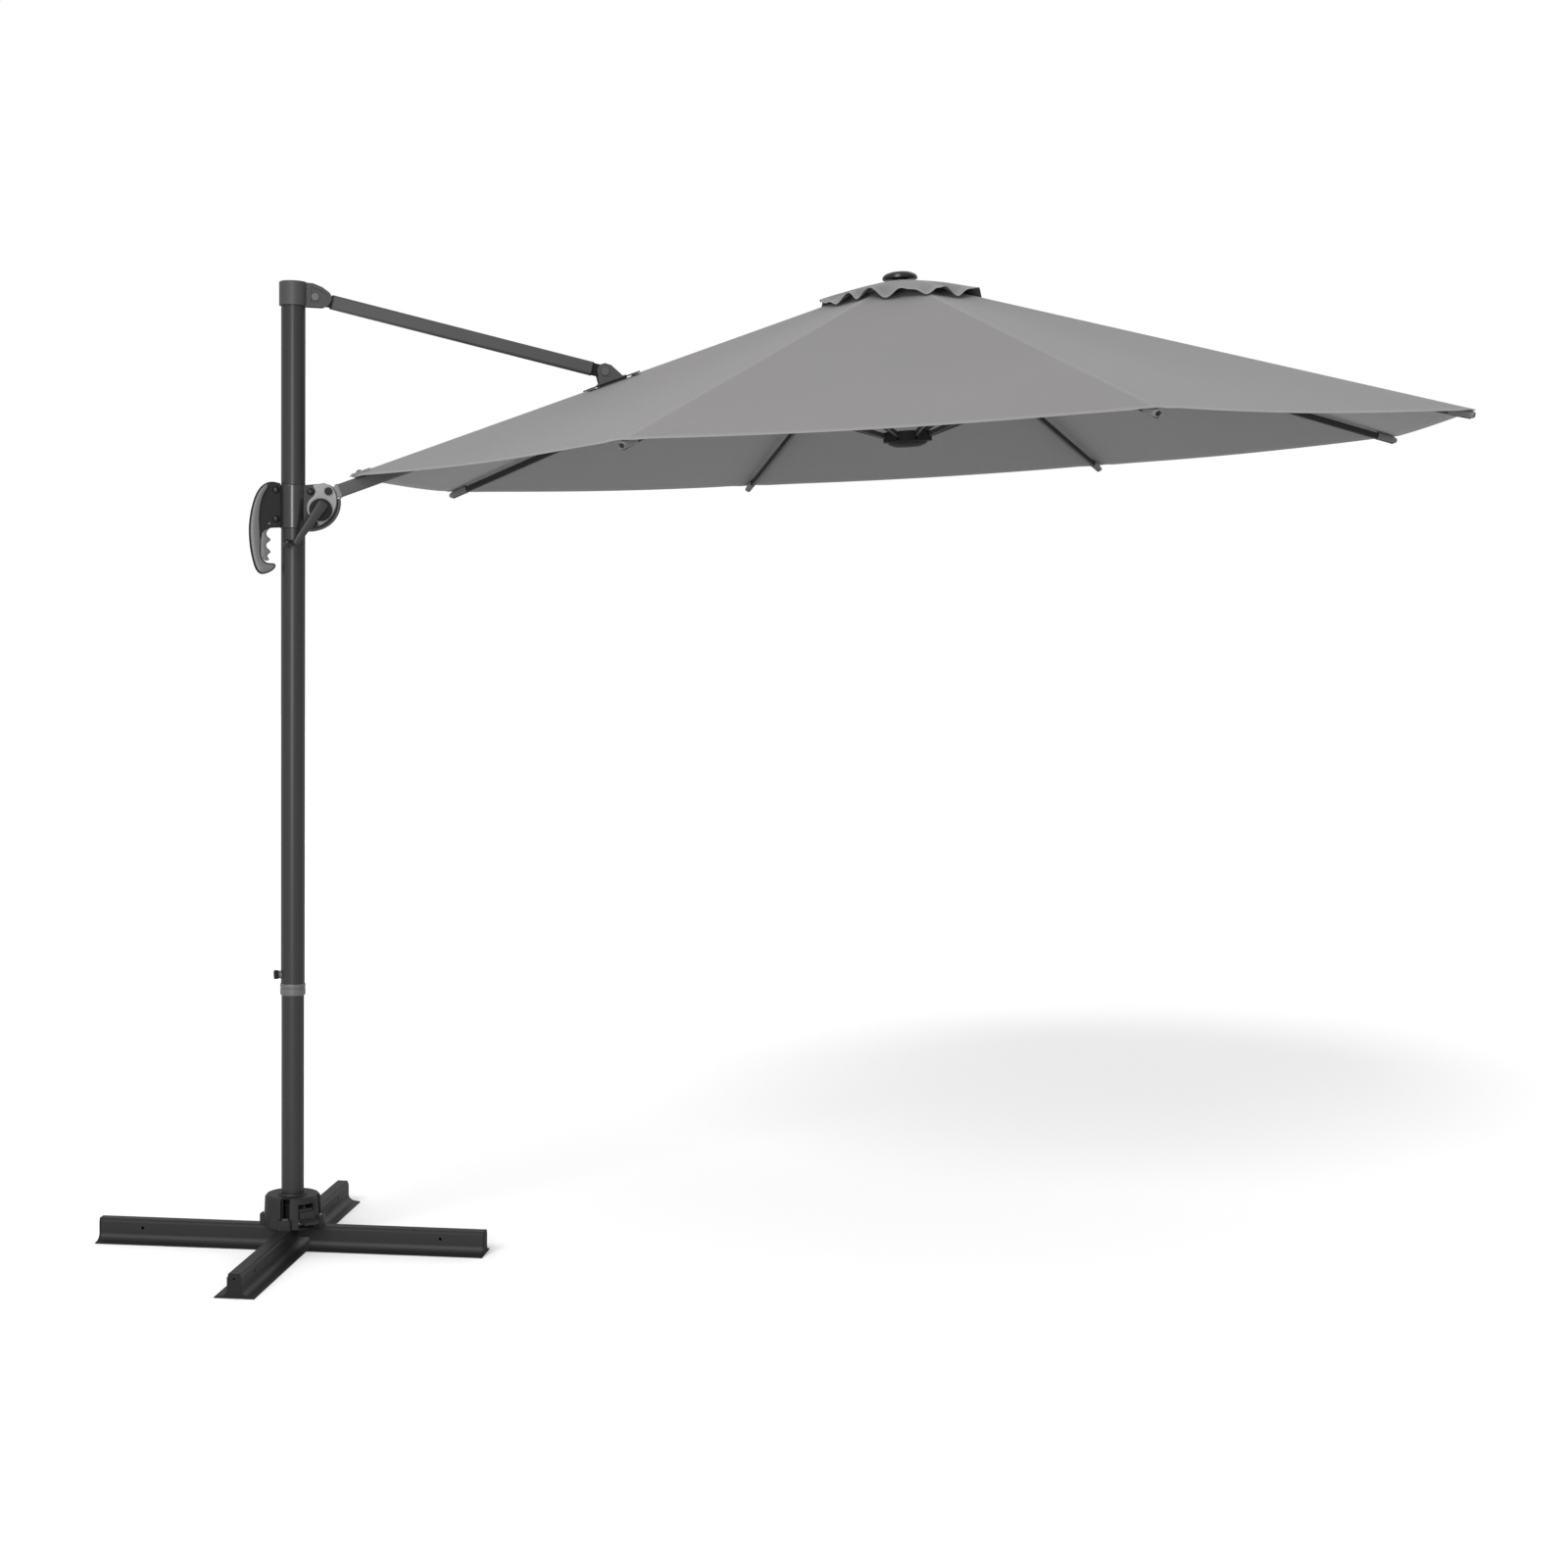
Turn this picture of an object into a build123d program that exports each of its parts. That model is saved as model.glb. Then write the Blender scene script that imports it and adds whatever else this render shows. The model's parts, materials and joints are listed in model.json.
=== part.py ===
"""Cantilever parasol: swivelling mast on a cross base, strut, tilting boom and an octagonal folding canopy.

Millimetres. The origin is on the floor under the mast's axis, +Z is up and the boom points along +X.
"""

from build123d import *
import math
import os

os.makedirs("parts", exist_ok=True)

# ---------------------------------------------------------------- driving dimensions
# base
BASE_ANGLE = -22.0          # direction of the long cross beam, degrees from +X
BEAM_LENGTH = 1000.0
BEAM_HEIGHT = 60.0
BEAM_FOOT = 98.0            # width over the flanges
BEAM_BODY = 34.0            # width of the upright part
BEAM_TOP = 28.0             # width of the flat top
BEAM_WALL = 2.5
BEAM_STEP = 51.0            # height where the upright part narrows to the top
CAP_THICK = 5.0
ANCHOR_HOLE_R = 4.0
ANCHOR_HOLE_INSET = 110.0   # from the beam's end
ANCHOR_HOLE_Z = 38.0
HUB_R_LOW = 73.0
HUB_R_TOP = 70.0
HUB_TOP_Z = 140.0
HUB_WALL = 4.0
HUB_BOLT_R = 68.0           # hub bolts' distance from the mast's axis

# mast
LOWER_TUBE_R = 28.5
UPPER_TUBE_R = 30.0
TUBE_WALL = 1.8
TUBE_FOOT_Z = 78.0
COLLAR_Z = 656.0
COLLAR_HEIGHT = 30.0
COLLAR_R = 32.0
LOWER_TUBE_TOP_Z = 780.0
CLAMP_Z = 709.0
MAST_TOP_Z = 2450.0
CAP_BOTTOM_Z = 2391.0
CAP_R = 35.0

# linkage pivots in the XZ plane
STRUT_TOP = (51.0, 2414.0)      # strut on the mast cap
STRUT_END = (796.0, 2269.0)     # strut on the boom bracket
BOOM_FOOT = (84.0, 1934.0)      # boom on the slider
BOOM_AXIS_DROP = 8.0            # boom's centre line under the boom's foot pivot

# strut and boom tubes: width across (Y) and height
STRUT_W, STRUT_H, STRUT_WALL = 24.0, 35.0, 1.5
BOOM_W, BOOM_H, BOOM_WALL = 25.0, 34.0, 1.6
PATCH_LIFT = 11.6               # middle of the trim patch over the boom's back

# slider
SLIDER_TOP_Z = 1947.0
SLIDER_BOTTOM_Z = 1840.0
SLEEVE_R = 34.0
SLIDE_GAP = 0.3
LINER_THICK = 1.2
CHEEK_INNER = 19.0              # half gap between the housing cheeks
CHEEK_OUTER = 25.0
PLATE_THICK = 2.5
RIM_CENTRE = (43.0, 1907.0)
RIM_R = 73.0
CRANK_AXIS = (64.0, 1887.0)
CHEEK_BOLTS = ((40.5, 1931.5), (48.0, 1852.0))
GRIP_BOLTS = ((-43.5, 1934.0), (-43.5, 1862.0))
GRIP_HALF = 15.0                # half thickness of the grip
GRIP_WEB = 9.0                  # half thickness of the grip's web
TRIGGER_PIVOT = (-60.0, 1850.0)

# canopy, in its own frame: origin at the peak, Z along the canopy's axis
PEAK = (1609.0, 2567.0)
CANOPY_TILT = 4.37
TIP_R = 1513.0
TIP_DROP = 478.0
FABRIC = 1.2
VENT_R = 235.0
VENT_DROP = 70.0                # height lost at the flap's edge
VENT_HOLE_R = 110.0
VENT_HOLE_DROP = 44.0
PIVOT_R = 52.0                  # rib and stretcher pivots from the canopy's axis
RIB_PIVOT_DROP = 75.0
RIB_SLOPE = 16.05
RIB_W, RIB_H, RIB_WALL = 11.0, 18.0, 1.0
RIB_END_R = 1500.0
LUG_DROP = 18.0                 # stretcher pivot under the rib's centre line
STRETCHER_AT = 580.0            # stretcher pivot along the rib
STRETCHER_W, STRETCHER_H = 9.0, 13.0
BOOM_LIFT = 20.0                # boom's centre line over its crown pivot
TONGUE = 7.0                    # thickness of the hinge tongues
SLOT = 7.8                      # width of the hinge slots
TRUNNION_R = 3.0
BEARING_R = 3.05
RIBS = 7

# ---------------------------------------------------------------- worked out
PHI = math.radians(RIB_SLOPE) + math.atan2(LUG_DROP, STRETCHER_AT)
REACH = math.hypot(STRETCHER_AT, LUG_DROP)
RUNNER_PIVOT_DROP = RIB_PIVOT_DROP + 2 * REACH * math.sin(PHI)


def up(shape, z):
    """Moves a shape up by z."""
    return Pos(0, 0, z) * shape


def rod(radius, height, z=0.0):
    """Upright cylinder standing on z."""
    return up(Cylinder(radius, height, align=(Align.CENTER, Align.CENTER, Align.MIN)), z)


def tube(outer, inner, height, z=0.0):
    """Upright tube standing on z."""
    return rod(outer, height, z) - rod(inner, height, z)


def cross_pin(radius, half, x, z):
    """Cylinder along Y, centred on (x, 0, z)."""
    return Pos(x, 0, z) * Rot(90, 0, 0) * Cylinder(radius, 2 * half)


def plate_xz(points, y_low, y_high, smooth=False):
    """Plate with an outline in the XZ plane, between two Y values."""
    outline = Spline(*points, periodic=True) if smooth else Polyline(*points, close=True)
    face = make_face(Plane.XZ * outline)
    return Pos(0, y_high, 0) * extrude(face, amount=y_high - y_low, dir=(0, -1, 0))


def line_plane(start, end):
    """Plane across a line in the XZ plane: local X is the row's Y, local Y is up the section."""
    direction = Vector(end[0] - start[0], 0, end[1] - start[1]).normalized()
    return Plane(origin=(start[0], 0, start[1]), x_dir=(0, 1, 0), z_dir=direction)


def point_on(start, angle, distance, rise=0.0):
    """Point at a distance along a line at an angle in the XZ plane, raised square to it."""
    c, s = math.cos(angle), math.sin(angle)
    return (start[0] + distance * c - rise * s, start[1] + distance * s + rise * c)


def hollow_bar(start, end, width, height, wall, corner):
    """Straight hollow bar with rounded corners between two points of the XZ plane."""
    plane = line_plane(start, end)
    length = math.dist(start, end)
    outer = RectangleRounded(width, height, corner)
    inner = RectangleRounded(width - 2 * wall, height - 2 * wall, corner - wall)
    return extrude(plane * (outer - inner), amount=length)


def solid_bar(start, end, width, height, corner):
    """Straight solid bar with rounded corners between two points of the XZ plane."""
    face = line_plane(start, end) * RectangleRounded(width, height, corner)
    return extrude(face, amount=math.dist(start, end))


def hex_bolt(radius, head, length):
    """Bolt along +Z with its head's underside at z 0 and the shank below."""
    shape = extrude(RegularPolygon(radius * 1.75, 6), amount=head)
    washer = up(rod(radius * 2.0, 1.6), -1.6)
    return shape + washer + rod(radius, length, -length)


def dome_bolt(radius, head, shank_r, length):
    """Round headed bolt along +Z, shank below z 0."""
    ball_r = (radius * radius + head * head) / (2 * head)
    dome = up(Sphere(ball_r), head - ball_r) & rod(radius, head)
    return dome + rod(shank_r, length, -length)


# ---------------------------------------------------------------- base
def beam_profile(grow=0.0):
    """Right half outline of a beam's section, from the floor up to the top's middle."""
    body = BEAM_BODY / 2 + grow
    top = BEAM_TOP / 2 + grow
    foot = BEAM_FOOT / 2
    flange = BEAM_WALL + grow
    with BuildLine() as outline:
        Polyline((0, 0), (foot, 0), (foot, flange), (body + 14, flange + 2.5))
        ThreePointArc((body + 14, flange + 2.5), (body + 4.6, flange + 8.5), (body, flange + 19))
        Polyline((body, flange + 19), (body, BEAM_STEP), (top, BEAM_STEP + 4), (top, BEAM_HEIGHT + grow),
                 (0, BEAM_HEIGHT + grow), (0, 0))
    return make_face(outline.line)


def beam_section(grow=0.0):
    """Whole bell shaped section in the YZ plane's local axes."""
    half = beam_profile(grow)
    return half + mirror(half, about=Plane.YZ)


def beam_void():
    """Inside of a beam's section, open at the floor."""
    body = BEAM_BODY / 2 - BEAM_WALL
    top = BEAM_TOP / 2 - BEAM_WALL
    points = [(-body - 9, -1), (body + 9, -1), (body, 19), (body, BEAM_STEP), (top, BEAM_STEP + 3),
              (top, BEAM_HEIGHT - BEAM_WALL), (-top, BEAM_HEIGHT - BEAM_WALL), (-top, BEAM_STEP + 3),
              (-body, BEAM_STEP), (-body, 19)]
    return make_face(Polyline(*points, close=True))


def beam():
    """One hollow cross beam along X, with anchor holes through its sides."""
    plane = Plane.YZ.offset(-BEAM_LENGTH / 2)
    shape = extrude(plane * (beam_section() - beam_void()), amount=BEAM_LENGTH)
    for x in (-1, 1):
        hole = Cylinder(ANCHOR_HOLE_R, BEAM_FOOT, rotation=(90, 0, 0))
        shape -= Pos(x * (BEAM_LENGTH / 2 - ANCHOR_HOLE_INSET), 0, ANCHOR_HOLE_Z) * hole
    for x in (-1, 1):
        shape -= Pos(x * HUB_BOLT_R, 0, BEAM_HEIGHT) * Cylinder(5.2, 20)
    return shape


def cross_beams():
    """Two beams halved into each other: the long one keeps its top, the short one its foot."""
    half = BEAM_HEIGHT / 2
    under = Box(BEAM_FOOT + 0.6, BEAM_FOOT + 4, half + 0.2, align=(Align.CENTER, Align.CENTER, Align.MIN))
    over = Pos(0, 0, half) * Box(BEAM_BODY + 0.6, BEAM_BODY + 0.8, half + 5,
                                 align=(Align.CENTER, Align.CENTER, Align.MIN))
    long_beam = beam() - under
    short_beam = beam() - over
    turn = Rot(0, 0, BASE_ANGLE)
    return turn * long_beam, turn * Rot(0, 0, 90) * short_beam


def end_cap():
    """Plastic cap on a beam's end, with a plug inside and a small hole near the top."""
    cap = extrude(Plane.YZ.offset(BEAM_LENGTH / 2) * beam_section(0.0), amount=CAP_THICK)
    plug_w = BEAM_BODY - 2 * BEAM_WALL - 0.6
    plug = Pos(BEAM_LENGTH / 2 - 12, 0, 34) * Box(24.2, plug_w, 26)
    hole = Pos(BEAM_LENGTH / 2, 0, 48) * Rot(0, 90, 0) * Cylinder(2.5, 40)
    return cap + plug - hole


def end_caps():
    """Caps for all four arms."""
    return Compound([Rot(0, 0, BASE_ANGLE + 90 * k) * end_cap() for k in range(4)])


PEDAL_ANGLE = BASE_ANGLE - 45.0
PEDAL_W = 40.0
PEDAL_PIN = (60.0, 106.0)     # radius and height of the pedal's pin
INDEX_R = 42.0
INDEX_Z = 114.0


def base_hub():
    """Cast cover over the crossing: a cup, a rim, four bolt bosses and a window for the pedal."""
    outer = [(0, BEAM_HEIGHT), (HUB_R_LOW, BEAM_HEIGHT), (HUB_R_TOP, HUB_TOP_Z - 6), (HUB_R_TOP - 5, HUB_TOP_Z),
             (38, HUB_TOP_Z), (36, HUB_TOP_Z + 4), (33.5, HUB_TOP_Z + 4), (0, HUB_TOP_Z + 4)]
    cup = revolve(make_face(Plane.XZ * Polyline(*outer, close=True)), Axis.Z)
    for k in range(4):
        boss = Pos(HUB_BOLT_R, 0, BEAM_HEIGHT) * Box(30, 34, 26, align=(Align.CENTER, Align.CENTER, Align.MIN))
        boss = fillet(boss.edges().filter_by(Axis.Z), 6)
        cup += Rot(0, 0, BASE_ANGLE + 90 * k) * boss
    cavity_r = HUB_R_TOP - HUB_WALL - 7
    cup -= rod(cavity_r, HUB_TOP_Z - HUB_WALL - 76, 76)
    cup -= rod(LOWER_TUBE_R + 0.4, 80, HUB_TOP_Z - 20)
    cup -= rod(cavity_r - 16, 20, BEAM_HEIGHT - 1)
    for k in range(4):
        seat = Pos(HUB_BOLT_R, 0, 0) * (rod(5.2, 60, BEAM_HEIGHT - 1) + rod(12.5, 60, 79.6))
        cup -= Rot(0, 0, BASE_ANGLE + 90 * k) * seat
    window = Pos(75, 0, 62) * Box(80, PEDAL_W + 4, 62, align=(Align.CENTER, Align.CENTER, Align.MIN))
    cup -= Rot(0, 0, PEDAL_ANGLE) * (window - rod(cavity_r - 16, 200))
    pin_hole = Pos(PEDAL_PIN[0], 0, PEDAL_PIN[1]) * Rot(90, 0, 0) * Cylinder(3.0, PEDAL_W + 24)
    cup -= Rot(0, 0, PEDAL_ANGLE) * pin_hole
    return cup


def hub_bolts():
    """Hexagon bolts that hold the hub on the four arms."""
    bolt = Pos(HUB_BOLT_R, 0, 81.2) * hex_bolt(5.0, 6.5, 32)
    return Compound([Rot(0, 0, BASE_ANGLE + 90 * k) * bolt for k in range(4)])


def pivot_post():
    """Steel post inside the mast's foot, on a flange held between hub and beams."""
    flange = rod(38, 6, 62.6)
    post = tube(22, 18, 260, 66)
    return flange + post


def swivel_bushes():
    """Two plastic bushes pressed into the lower tube, running on the post."""
    inner = 22.05
    outer = LOWER_TUBE_R - TUBE_WALL
    low = tube(outer, inner, 30, TUBE_FOOT_Z + 2)
    high = tube(outer, inner, 30, 290)
    return Compound([low, high])


def index_ring():
    """Toothed ring on the mast's foot, opposite the pedal's nose."""
    ring = tube(INDEX_R, LOWER_TUBE_R, 7, INDEX_Z)
    for k in range(12):
        ring -= Rot(0, 0, PEDAL_ANGLE + 30 * k) * Pos(INDEX_R, 0, INDEX_Z + 3.5) * Box(8, 9, 10)
    return ring


def foot_pedal():
    """Release pedal: a rocking lever with a ribbed tread outside the hub and a nose inside."""
    x, z = PEDAL_PIN
    barrel = cross_pin(6.5, PEDAL_W / 2, x, z)
    web = [(x - 4, z + 4), (x + 12, z - 2), (x + 16, z - 18), (x + 40, z - 24), (x + 40, z - 30),
           (x + 14, z - 26), (x + 4, z - 8), (x - 5, z - 4)]
    nose = [(x - 5, z - 3), (x + 3, z + 3), (x - 2, z + 12), (x - 16.5, z + 14), (x - 16.5, z + 9),
            (x - 8, z + 5)]
    body = barrel + plate_xz(web, -PEDAL_W / 2, PEDAL_W / 2) + plate_xz(nose, -3.6, 3.6)
    body -= cross_pin(3.06, PEDAL_W, x, z)
    for k in range(4):
        tread = Pos(x + 20 + 5.0 * k, 0, z - 18.6 - 1.25 * k) * Box(1.8, PEDAL_W - 8, 3)
        body += tread
    return Rot(0, 0, PEDAL_ANGLE) * body


def pedal_pin():
    """Pin across the hub's window that the pedal rocks on."""
    return Rot(0, 0, PEDAL_ANGLE) * cross_pin(3.0, PEDAL_W / 2 + 11, *PEDAL_PIN)


# ---------------------------------------------------------------- mast
def mast_lower_tube():
    """Lower tube of the mast, from the hub to inside the upper tube."""
    shape = tube(LOWER_TUBE_R, LOWER_TUBE_R - TUBE_WALL, LOWER_TUBE_TOP_Z - TUBE_FOOT_Z, TUBE_FOOT_Z)
    return shape - Pos(-LOWER_TUBE_R, 0, CLAMP_Z) * Rot(0, 90, 0) * Cylinder(4.2, 12)


def mast_upper_tube():
    """Upper tube of the mast, sleeved over the lower one."""
    inner = LOWER_TUBE_R
    shape = tube(UPPER_TUBE_R, inner, CAP_BOTTOM_Z + 25 - COLLAR_Z - 2, COLLAR_Z + 2)
    return shape - Pos(-UPPER_TUBE_R, 0, CLAMP_Z) * Rot(0, 90, 0) * Cylinder(4.2, 12)


def mast_collar():
    """Ringed plastic collar where the two tubes meet."""
    top = COLLAR_Z + COLLAR_HEIGHT
    outline = [(UPPER_TUBE_R, COLLAR_Z + 2), (UPPER_TUBE_R, top), (COLLAR_R - 0.6, top), (COLLAR_R, top - 2),
               (COLLAR_R, top - 9), (COLLAR_R - 1.2, top - 10), (COLLAR_R - 1.2, top - 12),
               (COLLAR_R, top - 13), (COLLAR_R, COLLAR_Z + 3), (COLLAR_R - 2, COLLAR_Z),
               (LOWER_TUBE_R, COLLAR_Z), (LOWER_TUBE_R, COLLAR_Z + 2)]
    return revolve(make_face(Plane.XZ * Polyline(*outline, close=True)), Axis.Z)


def clamp_seat():
    """Round seat for the clamp screw on the back of the mast."""
    pad = Pos(-UPPER_TUBE_R - 1.5, 0, CLAMP_Z) * Rot(0, 90, 0) * Cylinder(10, 9)
    pad -= rod(UPPER_TUBE_R, 40, CLAMP_Z - 20)
    return pad - Pos(-UPPER_TUBE_R, 0, CLAMP_Z) * Rot(0, 90, 0) * Cylinder(3.55, 30)


def clamp_knob():
    """Lobed knob with its clamping screw."""
    knob = Cylinder(8.5, 11)
    for k in range(6):
        knob += Rot(0, 0, 60 * k) * Pos(8.5, 0, 0) * Cylinder(3.0, 11)
    knob = Pos(-UPPER_TUBE_R - 6.4 - 5.5, 0, CLAMP_Z) * Rot(0, 90, 0) * knob
    screw = Pos(-UPPER_TUBE_R - 8 + 7.5, 0, CLAMP_Z) * Rot(0, 90, 0) * Cylinder(3.5, 19)
    return knob + screw


def mast_cap():
    """Cast cap with a forked nose for the strut."""
    height = MAST_TOP_Z - CAP_BOTTOM_Z
    body = rod(CAP_R, height, CAP_BOTTOM_Z)
    body = fillet(body.edges().group_by(Axis.Z)[-1], 4)
    px, pz = STRUT_TOP
    nose = [(0, CAP_BOTTOM_Z), (px + 22, CAP_BOTTOM_Z), (px + 34, CAP_BOTTOM_Z + 5), (px + 41, pz - 6),
            (px + 41.5, pz + 4), (px + 36, pz + 13), (px + 18, pz + 25), (px - 4, pz + 33), (0, MAST_TOP_Z - 1)]
    body += plate_xz(nose, -19, 19)
    recess = [(px - 10, pz - 15), (px + 24, pz - 15), (px + 33, pz - 8), (px + 34, pz + 2), (px + 26, pz + 11),
              (px + 6, pz + 20), (px - 10, pz + 25)]
    body -= plate_xz(recess, -19, -16.5)
    body -= plate_xz(recess, 16.5, 19)
    slot = Pos(px + 26, 0, pz) * Box(90, 2 * 11.3, 120)
    slot &= Pos(px, 0, pz) * Rot(90, 0, 0) * Cylinder(60, 60)
    slot -= rod(UPPER_TUBE_R + 2.5, 200, CAP_BOTTOM_Z - 50)
    body -= slot
    body -= rod(UPPER_TUBE_R, 25, CAP_BOTTOM_Z)
    return body - cross_pin(5.0, 40, px, pz)


def pivot_bolt(x, z, half, shank=5.0, head=9.0):
    """Bolt along Y with a round head on each side of a fork."""
    bolt = cross_pin(shank, half, x, z)
    for side in (-1, 1):
        bolt += Pos(x, side * (half + 2.0), z) * Rot(90, 0, 0) * Cylinder(head, 4.0)
    return bolt


# ---------------------------------------------------------------- strut
def strut_angle():
    """Slope of the strut's centre line, radians."""
    return math.atan2(STRUT_END[1] - STRUT_TOP[1], STRUT_END[0] - STRUT_TOP[0])


def strut_tube():
    """Flat sided tube between the strut's two end pieces."""
    start = point_on(STRUT_TOP, strut_angle(), 46)
    end = point_on(STRUT_END, strut_angle(), -36)
    return hollow_bar(start, end, STRUT_W, STRUT_H, STRUT_WALL, 7)


def strut_plug(pivot, angle, lead, collar, reach, eye_r, half, radius):
    """End piece: a tongue with an eye, a collar against the tube and a plug inside it."""
    first = point_on(pivot, angle, lead)
    face = point_on(pivot, angle, collar)
    inside = point_on(pivot, angle, reach)
    tongue = cross_pin(radius, half, *pivot) + solid_bar(pivot, first, 2 * half, 2 * radius - 2, 2)
    plug = solid_bar(face, inside, STRUT_W - 2 * STRUT_WALL, STRUT_H - 2 * STRUT_WALL, 5.5)
    lip = solid_bar(first, face, STRUT_W, STRUT_H, 7)
    return tongue + lip + plug - cross_pin(eye_r, half + 5, *pivot)


def strut_upper_end():
    """End piece in the mast cap's fork."""
    return strut_plug(STRUT_TOP, strut_angle(), 43.5, 46, 90, 5.05, 11.0, 15)


def strut_lower_end():
    """End piece between the boom bracket's cheeks, with a wide eye."""
    return strut_plug(STRUT_END, strut_angle() + math.pi, 32, 36, 80, 12.5, 8.0, 16.5)


# ---------------------------------------------------------------- slider
def cheek_outline():
    """Outline of the housing's cheeks in the XZ plane."""
    return [(18, SLIDER_TOP_Z), (55, 1951), (74, 1954), (92, 1948.5), (103, 1934), (107, 1916), (105, 1896),
            (97, 1876), (83, 1859), (66, 1847.5), (48, 1841), (18, SLIDER_BOTTOM_Z)]


def slider_casting():
    """Sleeve round the mast with two cheeks that carry the boom and the winding reel."""
    height = SLIDER_TOP_Z - SLIDER_BOTTOM_Z
    body = rod(SLEEVE_R, height, SLIDER_BOTTOM_Z)
    body = fillet(body.edges().filter_by(GeomType.CIRCLE), 1.5)
    for side in (-1, 1):
        low = CHEEK_INNER if side > 0 else -CHEEK_OUTER
        body += plate_xz(cheek_outline(), low, low + CHEEK_OUTER - CHEEK_INNER)
    body -= rod(UPPER_TUBE_R + SLIDE_GAP + LINER_THICK, height + 40, SLIDER_BOTTOM_Z - 20)
    body -= cross_pin(5.0, 60, *BOOM_FOOT)
    for place in CHEEK_BOLTS:
        body -= cross_pin(3.0, 60, *place)
    return body - cross_pin(9.05, 60, *CRANK_AXIS)


def glide_liners():
    """Two plastic glide rings inside the sleeve."""
    inner = UPPER_TUBE_R + SLIDE_GAP
    low = tube(inner + LINER_THICK, inner, 30, SLIDER_BOTTOM_Z + 3)
    high = tube(inner + LINER_THICK, inner, 30, SLIDER_TOP_Z - 33)
    return Compound([low, high])


def cheek_plates():
    """Two light metal plates, crescents round the crank, on the housing's cheeks."""
    outline = [(44, 1946), (56, 1950), (74, 1952.5), (90.5, 1947), (100.5, 1933), (104.5, 1916), (102.5, 1897),
               (95, 1878), (81, 1861.5), (70, 1853), (60, 1847.5), (58.5, 1857), (49, 1864), (38, 1871),
               (32, 1882), (31, 1897), (38, 1912), (49, 1922), (52.5, 1932), (50, 1940)]
    plates = []
    for side in (-1, 1):
        low = CHEEK_OUTER if side > 0 else -CHEEK_OUTER - PLATE_THICK
        plate = plate_xz(outline, low, low + PLATE_THICK)
        plate -= cross_pin(5.0, 60, *BOOM_FOOT)
        plate -= cross_pin(9.05, 60, *CRANK_AXIS)
        plate -= cross_pin(2.0, 60, 98, 1905)
        plates.append(plate)
    return Compound(plates)


def rim_band():
    """Channelled band that closes the housing round the reel, under the boom."""
    x, z = RIM_CENTRE
    ring = Rot(90, 0, 0) * (Cylinder(RIM_R, 2 * CHEEK_OUTER) - Cylinder(RIM_R - 5, 2 * CHEEK_OUTER + 2))
    groove = Rot(90, 0, 0) * (Cylinder(RIM_R + 1, 8) - Cylinder(RIM_R - 2, 9))
    band = Pos(x, 0, z) * (ring - Pos(0, 14, 0) * groove - Pos(0, -14, 0) * groove)
    sector = [(x, z), (x + 120, z + 8), (x + 120, z - 140), (x - 4, z - 140)]
    band &= plate_xz(sector, -40, 40)
    for side in (-1, 1):
        low = CHEEK_INNER if side > 0 else -CHEEK_OUTER
        band -= plate_xz(cheek_outline(), low - 0.2, low + CHEEK_OUTER - CHEEK_INNER + 0.2)
    return band


def slider_bolts():
    """Dome headed bolts through the grip's web and the housing's cheeks."""
    bolts = []
    for places, face in ((GRIP_BOLTS, GRIP_WEB), (CHEEK_BOLTS, CHEEK_OUTER)):
        for x, z in places:
            for side in (-1, 1):
                bolts.append(Pos(x, side * face, z) * Rot(-90 * side, 0, 0) * dome_bolt(9.0, 5.5, 3.0, 8.0))
    return Compound(bolts)


def grip_outline():
    """Bow and web of the grip in the XZ plane."""
    return [(-30, 1947), (-43, 1951.5), (-58, 1948.5), (-70, 1940), (-83, 1918), (-95, 1882), (-101.5, 1838),
            (-99, 1796), (-91, 1763), (-83, 1740), (-70, 1729), (-54, 1733), (-41, 1746), (-44, 1753),
            (-52, 1754.5), (-61, 1754), (-70.5, 1767), (-74, 1796), (-72, 1822), (-66.5, 1832), (-56, 1838.5),
            (-30, 1841)]


def grip_handle():
    """Grip of the slider: a bow on a web, hollowed for the trigger."""
    body = plate_xz(grip_outline(), -GRIP_HALF, GRIP_HALF)
    web_cut = [(-29, 1960), (-44, 1946), (-57, 1943), (-68, 1933), (-78, 1912), (-84, 1888), (-84, 1846),
               (-66, 1838), (-29, 1835)]
    for side in (-1, 1):
        low = GRIP_WEB if side > 0 else -GRIP_HALF
        body -= plate_xz(web_cut, low, low + GRIP_HALF - GRIP_WEB)
    channel = [(-50, 1870), (-74, 1870), (-90, 1836), (-88, 1796), (-80, 1764), (-66, 1752), (-52, 1752),
               (-30, 1800), (-30, 1840)]
    body -= plate_xz(channel, -6.5, 6.5)
    body -= rod(SLEEVE_R, 200, 1800)
    body -= cross_pin(2.5, 30, *TRIGGER_PIVOT)
    for place in GRIP_BOLTS:
        body -= cross_pin(3.0, 30, *place)
    return body


def trigger_outline():
    """Finger lever's outline in the XZ plane, with three finger hollows."""
    return [(-54, 1855), (-52, 1840), (-53.5, 1829), (-57.5, 1820), (-57, 1811), (-53, 1802), (-56.5, 1793),
            (-56, 1784), (-52.5, 1776), (-56, 1767), (-55, 1758), (-64, 1758), (-70, 1766), (-74, 1796),
            (-73, 1826), (-69, 1848), (-64, 1857)]


def grip_trigger():
    """Finger lever inside the grip's bow."""
    body = plate_xz(trigger_outline(), -6.0, 6.0)
    return body - cross_pin(2.56, 30, *TRIGGER_PIVOT)


def trigger_pin():
    """Pin that the trigger turns on."""
    return cross_pin(2.5, 9.0, *TRIGGER_PIVOT)


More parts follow.
